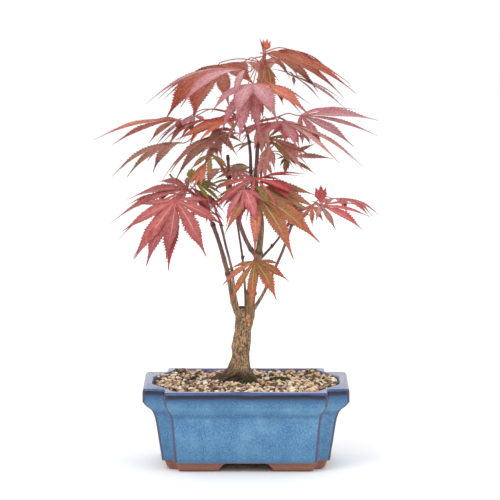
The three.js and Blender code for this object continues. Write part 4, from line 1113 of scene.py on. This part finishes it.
def add_tube(build, curve, radii, sides, steps, **more):
    """Adds a limb, with how strongly a node shows at each corner."""
    nodes = more.get("swell") or ()
    corners, faces, along = tube(curve, radii, sides, steps, **more)
    marks = []
    for place in along:
        away = [(place - s) * curve.length() / NODE_REACH for s in nodes]
        marks.append(min(1.0, sum(math.exp(-(a**2)) for a in away)))
    build.add(corners, faces, node=marks)


def add_bud(build, at, way):
    """Adds a small pointed bud."""
    way = way / np.linalg.norm(way)
    length = bpy.context.scene.maple_tree.bud_length / MM
    curve = Smooth([at - way * BUD["base"], at + way * length * BUD["middle"], at + way * length])
    corners, faces, _ = tube(curve, BUD["radii"], BUD["sides"], BUD["steps"])
    build.add(corners, faces, node=[BUD["dark"]] * len(corners))


def petiole_curve(start, leaf):
    """The way a leaf's stalk takes from its stem to the hub."""
    _, hub, aim, length = leaf[:4]
    ahead, _, face = leaf_frame(aim)
    hub = np.array(hub, dtype=float)
    end = hub + ahead * (PETIOLE["past"] * length)
    rising = (start + end) / 2
    rising[2] += PETIOLE["rise"] * np.linalg.norm(end - start)
    before = hub - ahead * (PETIOLE["behind"] * length) - face * PETIOLE["under"]
    return Smooth([start, rising, before, end])


def foliage_pieces(look):
    """Leaves and twigs of every foliage mass."""
    stalk_radius = look.stalk_radius / MM
    stalk_radii = (stalk_radius * PETIOLE["start"], stalk_radius, stalk_radius)
    for (node, stem, radii, *_), grown in zip(MASSES, grown_leaves(look.seed)):
        rng = random.Random(f"{node} {look.seed}")
        leaves = grown + ADDED.get(node, [])
        blades, twigs = Build(), Build()
        curve = Smooth(stem)
        places = sorted({round(leaf[0] * STEM_END, 3) for leaf in leaves})
        bark = {"swell": places, "uneven": STEM["uneven"], "seed": len(node)}
        add_tube(twigs, curve, radii, STEM["sides"], STEM["steps"], **bark)
        for number, leaf in enumerate(leaves):
            detail = DETAIL.get((node, number), {})
            leaf = (*detail["leaf"], leaf[7]) if "leaf" in detail else leaf
            start = curve.at(leaf[0] * STEM_END)
            stalk = petiole_curve(start, leaf)
            add_tube(twigs, stalk, stalk_radii, PETIOLE["sides"], PETIOLE["steps"])
            add_bud(twigs, start, curve.tangent(leaf[0]) + BUD["lean"] * stalk.tangent(0.0))
            looks = detail.get("looks", (leaf[7],) * leaf[6])
            widths = detail.get("widths", (1,) * leaf[6])
            shade = rng.uniform(*LEAF_TONE)
            for lobe, name, broad in zip(lobe_ways(leaf), looks, widths):
                tone = shade * rng.uniform(*LOBE_TONE)
                colours = [np.clip(np.array(linear(code)) * tone, 0, 1) for code in LEAF_LOOKS[name]]
                add_lobe(blades, lobe, leaf[5], colours, broad, look.leaf_thickness / MM, rng)
        yield node, blades, twigs


def four_fold(quarter, z):
    """A quarter of an outline mirrored to all four, from the middle of the right side anticlockwise."""
    turned = quarter[::-1]
    spots = [(x, y) for x, y in quarter] + [(-x, y) for x, y in turned]
    spots += [(-x, -y) for x, y in quarter] + [(x, -y) for x, y in turned]
    return [np.array([x, y, z]) for x, y in spots]


def arc(x, y, radius, start, end, steps=6):
    """Points on a quarter circle about a middle, from one bearing to another."""
    angles = [(start + (end - start) * i / steps) * DEG for i in range(steps + 1)]
    return [(x + radius * math.cos(a), y + radius * math.sin(a)) for a in angles]


def spaced(points, count):
    """Two points with others evenly between them, so that every outline has as many."""
    return [tuple(mixed(points[0], points[1], i / count)) for i in range(count + 1)]


def pot_sizes(inset):
    """The pot's half width and half depth, and its notches' width and depth, at an inset from the lip."""
    share = inset / POT["base_inset"]
    notch = (a + (b - a) * share for a, b in (POT["notch_width"], POT["notch_depth"]))
    return POT["half_width"] - inset, POT["half_depth"] - inset, *notch


def pot_outline(z, inset):
    """The pot's outline with its indented corners, drawn in from the lip by an inset."""
    w, d, nx, ny = pot_sizes(inset)
    outer, inner = POT["outer_edge"], POT["inner_edge"]
    quarter = arc(w - outer, d - ny - outer, outer, 0, 90)
    quarter += arc(w - nx + inner, d - ny + inner, inner, 270, 180)
    quarter += arc(w - nx - outer, d - outer, outer, 0, 90)
    return four_fold(quarter, z)


def hollow_quarter(z, inset, clear=0.0):
    """A quarter of the inside of the pot, with its plain cut corner."""
    w, d, nx, ny = pot_sizes(inset)
    side_end = INSIDE["side"] * (POT["half_depth"] - ny) - clear
    front_end = INSIDE["front"] * (POT["half_width"] - nx) - clear
    return [
        (w - POT["wall"] - clear, side_end),
        (front_end - inset * INSIDE["narrowing"], d - POT["wall"] - clear),
    ]


def next_corner(corner):
    """The corner that was extruded from one, by its number."""
    ends = [edge.other_vert(corner) for edge in corner.link_edges]
    return next(end.index for end in ends if end.select)


def lofted(name, rings):
    """A closed piece whose rings of corners are extruded one from the last, in millimetres."""
    sides = len(rings[0])
    bpy.ops.mesh.primitive_circle_add(vertices=sides, radius=1, fill_type="NGON")
    piece = bpy.context.object
    piece.name = piece.data.name = name
    bpy.ops.object.mode_set(mode="EDIT")
    bpy.ops.mesh.select_mode(type="VERT")
    bpy.ops.mesh.select_all(action="SELECT")
    order = list(range(sides))
    for level, ring in enumerate(rings):
        if level:
            bpy.ops.mesh.extrude_region_move()
        body = bmesh.from_edit_mesh(piece.data)
        body.verts.ensure_lookup_table()
        if level:
            order = [next_corner(body.verts[i]) for i in order]
        for i, spot in zip(order, ring):
            body.verts[i].co = (np.asarray(spot) + POT_AT) * MM
        bmesh.update_edit_mesh(piece.data)
    bpy.ops.mesh.select_all(action="SELECT")
    bpy.ops.mesh.normals_make_consistent(inside=False)
    bpy.ops.object.mode_set(mode="OBJECT")
    return piece


def cut_by(piece, tool):
    """Takes one piece out of another and removes it."""
    alone(piece)
    cut = piece.modifiers.new("cut", "BOOLEAN")
    cut.operation = "DIFFERENCE"
    cut.solver = "EXACT"
    cut.object = tool
    bpy.ops.object.modifier_apply(modifier=cut.name)
    bpy.data.objects.remove(tool)


def smoothed(piece, degrees):
    """Shades a piece smooth up to an angle between its faces."""
    alone(piece)
    bpy.ops.object.shade_smooth_by_angle(angle=degrees * DEG)


def spread_values(piece, name, values):
    """Writes one number a corner into a piece."""
    layer = piece.data.attributes.new(name, "FLOAT", "POINT")
    layer.data.foreach_set("value", np.asarray(values, dtype=float))


def pot_rings():
    """The pot's outlines from its sole up its foot and wall and over its lip."""
    ceiling, (_, wall_foot) = POT["foot_height"], POT_WALL[0]
    places = [(0.0, FOOT["sole"]), (FOOT["bevel"], FOOT["bottom"]), (ceiling, FOOT["top"])]
    places += [(z, wall_foot + inset) for z, inset in WALL_EDGE]
    wall = Smooth([(inset, 0, z) for z, inset in POT_WALL])
    places += [(p[2], p[0]) for p in (wall.at(i / WALL_STEPS) for i in range(WALL_STEPS + 1))]
    return [pot_outline(z, inset) for z, inset in places + LIP]


def cut_hollow(piece):
    """Takes the inside out of the pot, and the space within its foot."""
    hollow = INNER_WALL + [(POT["height"] + rise, inset) for rise, inset in MOUTH]
    cut_by(piece, lofted("hollow", [four_fold(hollow_quarter(z, inset), z) for z, inset in hollow]))
    inner = FOOT["top"] + FOOT["ring"] - POT["wall"]
    heights = (FOOT["below"], POT["foot_height"])
    cut_by(piece, lofted("under", [four_fold(hollow_quarter(z, inner), z) for z in heights]))


def cut_openings(piece):
    """Cuts the foot's openings, through from one side to the other."""
    ceiling, flare = POT["foot_height"], OPENING["flare"]
    for along_x, (top, sole) in ((False, FOOT["front"]), (True, FOOT["side"])):
        reach = 2 * (POT["half_width"] if along_x else POT["half_depth"])
        section = [(-sole / 2 - flare, FOOT["below"]), (sole / 2 + flare, FOOT["below"])]
        section += [(sole / 2, OPENING["sill"]), (top / 2 + flare, ceiling - OPENING["shoulder"])]
        section += [(top / 2, ceiling - OPENING["corner"]), (top / 2 - flare, ceiling)]
        section += [(-a, b) for a, b in section[:1:-1]]
        ends = []
        for end in (-reach, reach):
            ends.append([np.array([end, a, b] if along_x else [a, end, b]) for a, b in section])
        cut_by(piece, lofted("opening", ends))


def cut_drains(piece, radius):
    """Cuts the two drain holes."""
    angles = np.linspace(0, 2 * math.pi, DRAIN["sides"], endpoint=False)
    circle = [(radius * math.cos(a), radius * math.sin(a)) for a in angles]
    for side in (-1, 1):
        middle = side * DRAIN["from_middle"]
        rings = [[np.array([middle + x, y, z]) for x, y in circle] for z in DRAIN["heights"]]
        cut_by(piece, lofted("drain", rings))


def wear(x, y, z):
    """How worn the glaze shows at a place: along the pot's upright edges and its lip."""
    inset = float(np.interp(z, [p[0] for p in POT_WALL], [p[1] for p in POT_WALL]))
    w, d, nx, ny = pot_sizes(inset)
    edge = WORN["inset"]
    arcs = [(w - edge, d - ny - edge), (w - nx - edge, d - edge)]
    near = min(math.dist((abs(x), abs(y)), spot) for spot in arcs)
    upright = max(0.0, WORN["most"] - near / WORN["reach"]) if z > WORN["above"] else 0.0
    level = max(0.0, 1 - abs(z - WORN["lip"]) / WORN["lip_reach"])
    return min(1.0, upright + level)


def build_pot():
    """The glazed pot with its indented corners, hollow, foot openings and drain holes."""
    look = bpy.context.scene.maple_pot
    piece = lofted("glazed_pot", pot_rings())
    cut_hollow(piece)
    cut_openings(piece)
    cut_drains(piece, look.drain_radius / MM)
    smoothed(piece, 35)
    spots = np.array([v.co for v in piece.data.vertices]) / MM - POT_AT
    low = SOIL["edge"] - INSIDE["below_edge"]
    inner = [1.0 if z > low and inside_soil(x, y, -INSIDE["past_soil"]) else 0.0 for x, y, z in spots]
    spread_values(piece, "edge", [wear(*spot) for spot in spots])
    spread_values(piece, "inner", inner)
    finished(piece, "pot", "pot", glaze())


def mound_tops():
    """How high each mound of the soil rises, by column and row of its square."""
    columns, rows = (2 * math.ceil(POT[side] / SOIL["pitch"]) for side in ("half_width", "half_depth"))
    draw = drawer(SOIL["seed"])
    tops = {}
    for row in range(rows):
        for column in range(columns):
            tops[column - columns // 2, row - rows // 2] = draw(SOIL["rise"])
    return tops


def soil_level(x, y):
    """The soil's even surface: level round the trunk and falling to the pot's wall."""
    clear = POT["wall"] + SOIL["inset"]
    out = max(abs(x) / (POT["half_width"] - clear), abs(y) / (POT["half_depth"] - clear))
    climb = min(1.0, max(0.0, 1 - out) / (1 - SOIL["flat"]))
    return SOIL["edge"] + (SOIL["top"] - SOIL["edge"]) * math.sin(climb * 90 * DEG)


def soil_height(x, y, tops):
    """How high the soil lies at a place, with its mounds."""
    column, row = math.floor(x / SOIL["pitch"]), math.floor(y / SOIL["pitch"])
    middle = ((column + 0.5) * SOIL["pitch"], (row + 0.5) * SOIL["pitch"])
    away = 2 * max(abs(x - middle[0]), abs(y - middle[1])) / SOIL["pitch"]
    on_seat = math.hypot(middle[0] - TRUNK_RINGS[0][1], middle[1]) < SOIL["seat"]
    rise = 0.0 if on_seat else (tops[column, row] + SOIL["dip"]) * (1 - away) - SOIL["dip"]
    return soil_level(x, y) + rise


def inside_soil(x, y, clear):
    """Whether a place on the soil lies within its edge by a clearance."""
    (w, side_end), (front_end, d) = hollow_quarter(SOIL["edge"], SOIL["inset"], CLEARANCE + clear)
    x, y = abs(x), abs(y)
    if x > w or y > d:
        return False
    return x <= front_end or (x - front_end) * (d - side_end) / (w - front_end) + (y - d) <= 0


def build_soil():
    """The bed of soil, filling the pot up to its mounds."""
    in_pot = [(INNER_WALL[0][0] + CLEARANCE, INNER_WALL[0][1]), *INNER_WALL[1:]]
    corner = SOIL["cut_corner"]
    surface = spaced(hollow_quarter(SOIL["edge"], SOIL["inset"], CLEARANCE), corner)
    rings = [four_fold(spaced(hollow_quarter(z, i, CLEARANCE), corner), z) for z, i in in_pot]
    tops = mound_tops()
    for share in SOIL_RINGS:
        ring = [p * share for p in four_fold(surface, 0.0)]
        rings.append([p + (0, 0, soil_height(p[0], p[1], tops) - GRAINS["bed"]) for p in ring])
    piece = lofted("soil_bed", rings)
    smoothed(piece, 60)
    finished(piece, "soil", "soil", earth())


# Loose grains, in millimetres: half the field they are dealt over, how many lie on the bed, their smallest
# radius, how many are larger still and by how much, their own shapes, how high their tops stand, how near
# the trunk they come, and how deep the bed lies under them. Then the ones banked against the pot's wall.
GRAINS = {
    "field": (82, 60), "count": 1900, "smallest": 1.4, "usual": 0.8, "larger": (1.0, 1.2), "clear": 0.9,
    "flatness": (0.75, 1.1), "narrow": (0.7, 1.0), "rough": (0.78, 1.15), "tilt": (-0.5, 0.5),
    "turn": (0, 6.3), "tops": (-1.7, 1.0), "trunk": 8.0, "bed": 2.6,
    "banked": 520, "bank": 9.0, "bank_tops": (0.8, 3.2),
}
# Patches of moss by the trunk: place, reach and height, and each patch's tufts, their sizes and heights.
MOSS = [
    ((2.0, -15.5), (7.0, 6.0), 4.6), ((-17.0, -11.0), (4.0, 3.0), 1.6), ((30.0, -2.0), (9.0, 4.0), 1.8),
]
TUFTS = {"count": 260, "size": (0.5, 1.3), "height": (0.8, 1.6)}


def grain_shape():
    """Corners and faces of one small round, from a primitive of twenty faces."""
    bpy.ops.mesh.primitive_ico_sphere_add(subdivisions=1, radius=1)
    ball = bpy.context.object
    corners = np.array([v.co for v in ball.data.vertices])
    faces = [tuple(p.vertices) for p in ball.data.polygons]
    bpy.data.objects.remove(ball)
    return corners, faces


def build_grains(look, seed):
    """Loose grains over the bed, each rough and turned its own way."""
    rng = random.Random(seed)
    corners, faces = grain_shape()
    tops = mound_tops()
    build = Build()
    placed = 0
    field_x, field_y = GRAINS["field"]
    largest = look.grain_radius / MM
    while placed < GRAINS["count"] + GRAINS["banked"]:
        loose = placed < GRAINS["count"]
        x, y = rng.uniform(-field_x, field_x), rng.uniform(-field_y, field_y)
        usual = rng.random() < GRAINS["usual"]
        size = rng.uniform(GRAINS["smallest"], largest) if usual else largest * rng.uniform(*GRAINS["larger"])
        by_trunk = math.hypot(x - TRUNK_RINGS[0][1], y) < GRAINS["trunk"]
        if by_trunk or not inside_soil(x, y, size * GRAINS["clear"]):
            continue
        if not loose and inside_soil(x, y, GRAINS["bank"]):
            continue
        flat = rng.uniform(*GRAINS["flatness"])
        turn = turned_by([rng.uniform(*GRAINS[way]) for way in ("tilt", "tilt", "turn")])
        rough = np.array([rng.uniform(*GRAINS["rough"]) for _ in corners])[:, None]
        sizes = (size, size * rng.uniform(*GRAINS["narrow"]), size * flat)
        shape = (corners * rough * sizes) @ turn.T
        top = soil_height(x, y, tops) + rng.uniform(*GRAINS["tops" if loose else "bank_tops"])
        high, low = shape[:, 2].max(), shape[:, 2].min()
        # Painted shade: how near each corner lies to its grain's foot, which darkens the grain there.
        damp = [(high - z) / (high - low) for z in shape[:, 2]]
        build.add(shape + (x, y, top - high), faces, kind=[rng.random()] * len(corners), damp=damp)
        placed += 1
    finished(build.piece("soil_grains", 20), "soil", "soil", granules())


def build_moss(seed):
    """Patches of short moss round the foot of the trunk."""
    rng = random.Random(seed + 1)
    corners, faces = grain_shape()
    tops = mound_tops()
    build = Build()
    for (x, y), (reach_x, reach_y), height in MOSS:
        for _ in range(TUFTS["count"]):
            angle, out = rng.uniform(0, 2 * math.pi), math.sqrt(rng.random())
            px, py = x + reach_x * out * math.cos(angle), y + reach_y * out * math.sin(angle)
            size = rng.uniform(*TUFTS["size"])
            rise = height * (1 - out**2)
            shape = corners * (size, size, size * rng.uniform(*TUFTS["height"]))
            shape = shape + (px, py, soil_height(px, py, tops) + rise)
            build.add(shape, faces, tone=[rng.random()] * len(corners))
    finished(build.piece("moss_patches", 50), "soil", "soil", moss())


def ridge(angle, bearing, sharpness):
    """How strongly a ridge at one bearing shows at another."""
    return max(0.0, math.cos(angle - bearing * DEG)) ** sharpness


# The trunk's corners round it and up it, how sharp its root and burl ridges are, how its plain shape has
# three sides that wind up it, and how far its base runs down into the soil.
TRUNK = {"sides": 112, "rings": 100, "root": 18, "burl": 4, "side": 0.35, "twist": 0.07, "base": 2.0}
# Relief of the bark in millimetres: how high each kind stands and how close it lies. The noise is read
# on a round of its own radius, and stretched along the trunk.
RELIEF = {
    "round": 8, "stretch": 0.35, "plates": (0.55, 0.3), "cracks": (0.4, 0.75), "crack_width": 6,
    "lumps": (0.5, 0.14),
}
# The scar on the front of the trunk, with its lean and how sharp its rim is, the cut top's rings by share
# and rise, and how far down the cut shows.
SCAR = {"x": 2.6, "low": 121.5, "high": 143.0, "width": 2.9, "lean": 1.5, "sharp": 1.6, "front": -0.2}
CUT_TOP = ((0.8, 0.4), (0.5, 0.2), (0.2, -0.4))
CUT_DEPTH = 1.0
# Loose roots on the soil, by path and radii.
ROOT_RUNS = [
    ([(-11, -2, 80), (-19, -4, 76.5), (-30, -5, 74), (-38, -6, 71.5)], (3.6, 2.9, 2.0, 1.0)),
    ([(-1, -9.0, 85), (4, -15, 81), (9, -21, 76.5), (15, -27, 71.5)], (1.7, 1.5, 1.2, 0.7)),
    ([(-3, -9.5, 84.5), (-11, -13, 80.5), (-20, -14, 76.5), (-29, -14, 71.5)], (1.6, 1.4, 1.2, 0.6)),
    ([(-9, -6, 78), (-13, -12, 75), (-16, -18, 72)], (2.6, 2.0, 0.9)),
    ([(2, 3, 78), (9, 6, 75), (17, 8, 72)], (2.6, 1.9, 0.9)),
    ([(-6, 8, 79), (-7, 15, 75.5), (-9, 24, 72)], (3.0, 2.2, 1.0)),
]
ROOT = {"sides": 16, "steps": 26, "uneven": 0.22}
# A bough: how many corners stand round a thick one and a thin one, how far apart its rings are, its bark,
# and how far out of it a bud sits, as a share of its radius, and across which way.
BOUGH = {
    "thick": 2.5, "sides": (20, 14), "step": 1.1, "uneven": 0.1, "seeds": 7, "bud": 0.6,
    "bud_across": (0.2, 1.0, 0.1),
}


def bark_relief(angle, z):
    """How far the bark stands out of the trunk's plain shape."""
    x, y = math.cos(angle) * RELIEF["round"], math.sin(angle) * RELIEF["round"]
    spot = Vector((x, y, z * RELIEF["stretch"]))
    plate, plate_scale = RELIEF["plates"]
    crack, crack_scale = RELIEF["cracks"]
    lump, lump_scale = RELIEF["lumps"]
    open_crack = 1 - min(1.0, abs(noise.noise(spot * crack_scale)) * RELIEF["crack_width"])
    lumps = noise.noise(Vector((x, y, z)) * lump_scale)
    return lump * lumps + plate * noise.noise(spot * plate_scale) - crack * open_crack


def scar_mark(x, z, angle):
    """How strongly the scar shows at a place on the trunk."""
    if not SCAR["low"] < z < SCAR["high"] or math.sin(angle) >= SCAR["front"]:
        return 0.0
    up = (z - SCAR["low"]) / (SCAR["high"] - SCAR["low"])
    wide = SCAR["width"] * math.sin(math.pi * up) ** 0.5
    mark = max(0.0, 1 - abs(x - SCAR["x"] + SCAR["lean"] * up) / wide)
    return min(1.0, mark * SCAR["sharp"])


def build_trunk():
    """The trunk with its root flare, burl, fissures and pale scar, and the stub of its old top."""
    levels = [r[0] for r in TRUNK_RINGS]
    sides, low, high = TRUNK["sides"], levels[0], levels[-1]
    rings, cut, scar = [], [], []
    for row in range(TRUNK["rings"] + 1):
        z = low + (high - low) * row / TRUNK["rings"]
        sizes = [float(np.interp(z, levels, [r[i] for r in TRUNK_RINGS])) for i in range(1, 5)]
        middle, radius, flare, burl = sizes
        ring = []
        for i in range(sides):
            angle = 2 * math.pi * i / sides
            roots = sum(reach * ridge(angle, bearing, TRUNK["root"]) for bearing, reach in ROOTS)
            r = radius + flare * roots + burl * BURL[1] * ridge(angle, BURL[0], TRUNK["burl"])
            r += TRUNK["side"] * math.sin(3 * angle + TRUNK["twist"] * z)
            r += bark_relief(angle, z)
            x = middle + r * math.cos(angle)
            scar.append(scar_mark(x, z, angle))
            cut.append(1.0 if z > high - CUT_DEPTH else 0.0)
            ring.append(np.array([x, r * math.sin(angle), z]))
        rings.append(ring)
    last = rings[-1]
    centre = sum(last) / sides
    for share, rise in CUT_TOP:
        rings.append([centre + (p - centre) * share + (0, 0, rise) for p in last])
    rings = [[p - (0, 0, TRUNK["base"]) for p in rings[0]], *rings]
    piece = lofted("bark_trunk", rings)
    base = [0.0] * sides
    top = len(CUT_TOP) * sides
    spread_values(piece, "cut", base + cut + [1.0] * top)
    spread_values(piece, "scar", base + scar + [0.0] * top)
    smoothed(piece, 70)
    bark = old_bark()
    finished(piece, "trunk", "bark", bark)
    build = Build()
    for number, (path, radii) in enumerate(ROOT_RUNS):
        shape = tube(Smooth(path), radii, ROOT["sides"], ROOT["steps"], uneven=ROOT["uneven"], seed=number)
        plain = [0.0] * len(shape[0])
        build.add(*shape[:2], cut=plain, scar=plain)
    finished(build.piece("surface_roots", 70), "trunk", "bark", bark)


def build_boughs():
    """Each bough with its nodes, buds and uneven bark."""
    for number, (name, path, radii, nodes) in enumerate(BOUGHS):
        build = Build()
        curve = Smooth(path)
        sides = BOUGH["sides"][0 if radii[0] > BOUGH["thick"] else 1]
        steps = int(curve.length() / BOUGH["step"])
        bark = {"swell": nodes, "uneven": BOUGH["uneven"], "seed": number * BOUGH["seeds"]}
        add_tube(build, curve, radii, sides, steps, **bark)
        for share in nodes[:-1]:
            way = np.cross(curve.tangent(share), BOUGH["bud_across"]) * (1 if number % 2 else -1)
            add_bud(build, curve.at(share) + way * radii[-1] * BOUGH["bud"], way + curve.tangent(share))
        piece = build.piece(f"bark_{name}", 60)
        if name == "bough_leader":
            finished(piece, name, "bark", leader_bark())
        else:
            finished(piece, name, "young_bark", bpy.data.materials.get("shoot_bark") or shoot_bark())


LEAF_SLOTS = {
    "foliage_top": "leaf_mauve", "foliage_upper_right": "leaf_pink", "foliage_upper_left": "leaf_orange",
    "foliage_middle_left": "leaf_orange", "foliage_middle_right": "leaf_olive",
    "foliage_lower_left": "leaf_crimson", "foliage_centre": "leaf_crimson", "foliage_right": "leaf_crimson",
    "foliage_right_rear": "leaf_orange", "foliage_rear": "leaf_orange", "foliage_left_inner": "leaf_orange",
    "foliage_low_front": "leaf_orange",
}


def build_foliage():
    """Leaves and twigs of each mass, on from the limbs."""
    stalks = petiole_material()
    for node, blades, twigs in foliage_pieces(bpy.context.scene.maple_tree):
        part = node.removeprefix("foliage")
        leaves = blades.piece(f"leaves{part}", 50)
        finished(leaves, node, LEAF_SLOTS[node], leaf_material(f"blades{part}"))
        finished(twigs.piece(f"twigs{part}", 60), node, "young_bark", stalks)


# The photo's camera in metres and degrees, and the soft lamps about it by place, size and power.
CAMERA = {"pitch": 7.3, "sensor": 36.0, "at": (0.010, 0.0024, 0.1896)}
LIGHTS = {
    "key": ((-1.0, -1.6, 1.9), 1.2, 18.0),
    "fill": ((1.5, -1.4, 1.1), 1.6, 8.0),
    "back": ((0.4, 1.6, 1.6), 1.6, 5.0),
}


def build_stage():
    """A plain pale floor, soft light and the camera."""
    look = bpy.context.scene.maple_stage
    world = bpy.data.worlds.new("studio")
    world.use_nodes = True
    back = world.node_tree.nodes["Background"]
    back.inputs["Color"].default_value = (*look.backdrop, 1)
    back.inputs["Strength"].default_value = look.backdrop_light
    bpy.context.scene.world = world
    bpy.context.scene.view_settings.view_transform = "Standard"
    bpy.ops.mesh.primitive_plane_add(size=look.floor_size)
    floor = bpy.context.object
    floor.name = "floor"
    g = Graph("floor_white")
    tone = g.noise(g.place(), 0.004, 2.0)
    pale = g.mix(tone, look.floor, tuple(min(1.0, c * 1.01) for c in look.floor))
    floor.data.materials.append(g.surface(base_color=pale, roughness=0.9))
    floor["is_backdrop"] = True
    for name, (place, size, power) in LIGHTS.items():
        light = bpy.data.lights.new(name, "AREA")
        light.shape = "DISK"
        light.size = size
        light.energy = power * look.light
        lamp = bpy.data.objects.new(name, light)
        bpy.context.collection.objects.link(lamp)
        lamp.location = place
        aim = Vector(CAMERA["at"]) - lamp.location
        lamp.rotation_euler = aim.to_track_quat("-Z", "Y").to_euler()
    camera_data = bpy.data.cameras.new("photo_camera")
    camera_data.lens = look.lens
    camera_data.sensor_width = CAMERA["sensor"]
    camera = bpy.data.objects.new("photo_camera", camera_data)
    bpy.context.collection.objects.link(camera)
    pitch = CAMERA["pitch"] * DEG
    away = Vector((0, -math.cos(pitch), math.sin(pitch))) * look.distance
    camera.location = Vector(CAMERA["at"]) + away
    camera.rotation_euler = (90 * DEG - pitch, 0, 0)
    bpy.context.scene.camera = camera


def colour_setting(name, text, code):
    """A colour setting."""
    limits = {"subtype": "COLOR", "size": 3, "min": 0, "max": 1}
    return FloatVectorProperty(name=name, description=text, default=linear(code), **limits)


def length_setting(name, text, metres):
    """A size setting."""
    return FloatProperty(name=name, description=text, default=metres, min=0, precision=5, unit="LENGTH")


def number_setting(name, text, number):
    """A setting that is a plain number."""
    return FloatProperty(name=name, description=text, default=number, min=0)


class MaplePotSettings(bpy.types.PropertyGroup):
    """Sizes and colours of the pot and of its soil."""

    glaze: colour_setting("Glaze", "Blue of the glaze where it is thick", "#4b81a9")
    glaze_dark: colour_setting("Dark glaze", "Blue of the glaze in its darker streaks", "#3a719c")
    glaze_pale: colour_setting("Pale glaze", "Blue of the glaze in its pale pools", "#6e9dbb")
    clay: colour_setting("Clay", "Colour of the unglazed foot", "#9a6a58")
    clay_dark: colour_setting("Dark clay", "Colour of the unglazed foot in its darker grain", "#7c5247")
    drain_radius: length_setting("Drain radius", "Radius of the two drain holes", 0.007)
    grain_radius: length_setting("Grain radius", "Radius of the larger of the usual soil grains", 0.0035)


class MapleTreeSettings(bpy.types.PropertyGroup):
    """Sizes, colours and seed of the tree."""

    seed: IntProperty(name="Seed", description="Settles the hidden leaves, as in the CAD", default=11, min=0)
    bark: colour_setting("Bark", "Tan of the trunk", "#8f6f50")
    bark_dark: colour_setting("Bark cracks", "Brown of the cracks in the bark", "#4a3628")
    shoot: colour_setting("Shoots", "Maroon brown of the younger shoots", "#5d3b3d")
    leaf_thickness: length_setting("Leaf thickness", "Thickness of a leaf at its hub", 0.00036)
    stalk_radius: length_setting("Stalk radius", "Radius of a leaf's stalk", 0.00045)
    bud_length: length_setting("Bud length", "How far a bud stands out of its limb", 0.0026)


class MapleStageSettings(bpy.types.PropertyGroup):
    """Floor, light and camera round the tree."""

    backdrop: colour_setting("Backdrop", "Colour of the backdrop", "#ffffff")
    backdrop_light: number_setting("Backdrop light", "Strength of the backdrop", 1.0)
    floor: colour_setting("Floor", "Colour of the floor", "#ffffff")
    floor_size: length_setting("Floor size", "Length of the floor's sides", 8.0)
    light: number_setting("Light", "Power of the lamps as a share", 1.0)
    distance: length_setting("Camera distance", "How far the camera stands from the middle of the tree", 3.0)
    lens: FloatProperty(name="Lens", description="Camera's focal length", default=245.2, min=1, unit="CAMERA")


class MAPLE_OT_pot(bpy.types.Operator):
    """Makes the glazed pot."""

    bl_idname = "maple.pot"
    bl_label = "Pot"

    def execute(self, context):
        build_pot()
        return {"FINISHED"}


class MAPLE_OT_soil(bpy.types.Operator):
    """Makes the soil with its grains and moss."""

    bl_idname = "maple.soil"
    bl_label = "Soil"

    def execute(self, context):
        seed = context.scene.maple_tree.seed
        build_soil()
        build_grains(context.scene.maple_pot, seed)
        build_moss(seed)
        return {"FINISHED"}


class MAPLE_OT_trunk(bpy.types.Operator):
    """Makes the trunk and its surface roots."""

    bl_idname = "maple.trunk"
    bl_label = "Trunk"

    def execute(self, context):
        build_trunk()
        return {"FINISHED"}


class MAPLE_OT_boughs(bpy.types.Operator):
    """Makes the boughs."""

    bl_idname = "maple.boughs"
    bl_label = "Boughs"

    def execute(self, context):
        build_boughs()
        return {"FINISHED"}


class MAPLE_OT_foliage(bpy.types.Operator):
    """Makes the leaves and twigs of every mass."""

    bl_idname = "maple.foliage"
    bl_label = "Foliage"

    def execute(self, context):
        build_foliage()
        return {"FINISHED"}


class MAPLE_OT_stage(bpy.types.Operator):
    """Makes the floor, light and camera."""

    bl_idname = "maple.stage"
    bl_label = "Stage"

    def execute(self, context):
        build_stage()
        return {"FINISHED"}


class MAPLE_PT_panel(bpy.types.Panel):
    """Lists the maple's settings and pieces."""

    bl_idname = "MAPLE_PT_panel"
    bl_label = "Potted Maple"
    bl_space_type = "VIEW_3D"
    bl_region_type = "UI"
    bl_category = "Maple"

    def draw(self, context):
        for group in GROUPS:
            settings = getattr(context.scene, group)
            box = self.layout.box()
            for key in GROUPS[group].__annotations__:
                box.prop(settings, key)
        for operator in OPERATORS:
            self.layout.operator(operator.bl_idname)


GROUPS = {"maple_pot": MaplePotSettings, "maple_tree": MapleTreeSettings, "maple_stage": MapleStageSettings}
OPERATORS = (MAPLE_OT_pot, MAPLE_OT_soil, MAPLE_OT_trunk, MAPLE_OT_boughs, MAPLE_OT_foliage, MAPLE_OT_stage)


def register():
    for group, kind in GROUPS.items():
        bpy.utils.register_class(kind)
        setattr(bpy.types.Scene, group, PointerProperty(type=kind))
    for kind in (*OPERATORS, MAPLE_PT_panel):
        bpy.utils.register_class(kind)


def unregister():
    for kind in reversed((*OPERATORS, MAPLE_PT_panel)):
        bpy.utils.unregister_class(kind)
    for group, kind in GROUPS.items():
        delattr(bpy.types.Scene, group)
        bpy.utils.unregister_class(kind)


def main():
    register()
    bpy.ops.maple.pot()
    bpy.ops.maple.soil()
    bpy.ops.maple.trunk()
    bpy.ops.maple.boughs()
    bpy.ops.maple.foliage()
    bpy.ops.maple.stage()
    sizes = {"cad": CAD_BOX, "visual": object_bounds()}
    plain = {key: [[float(c) for c in corner] for corner in box] for key, box in sizes.items()}


if __name__ == "__main__":
    main()
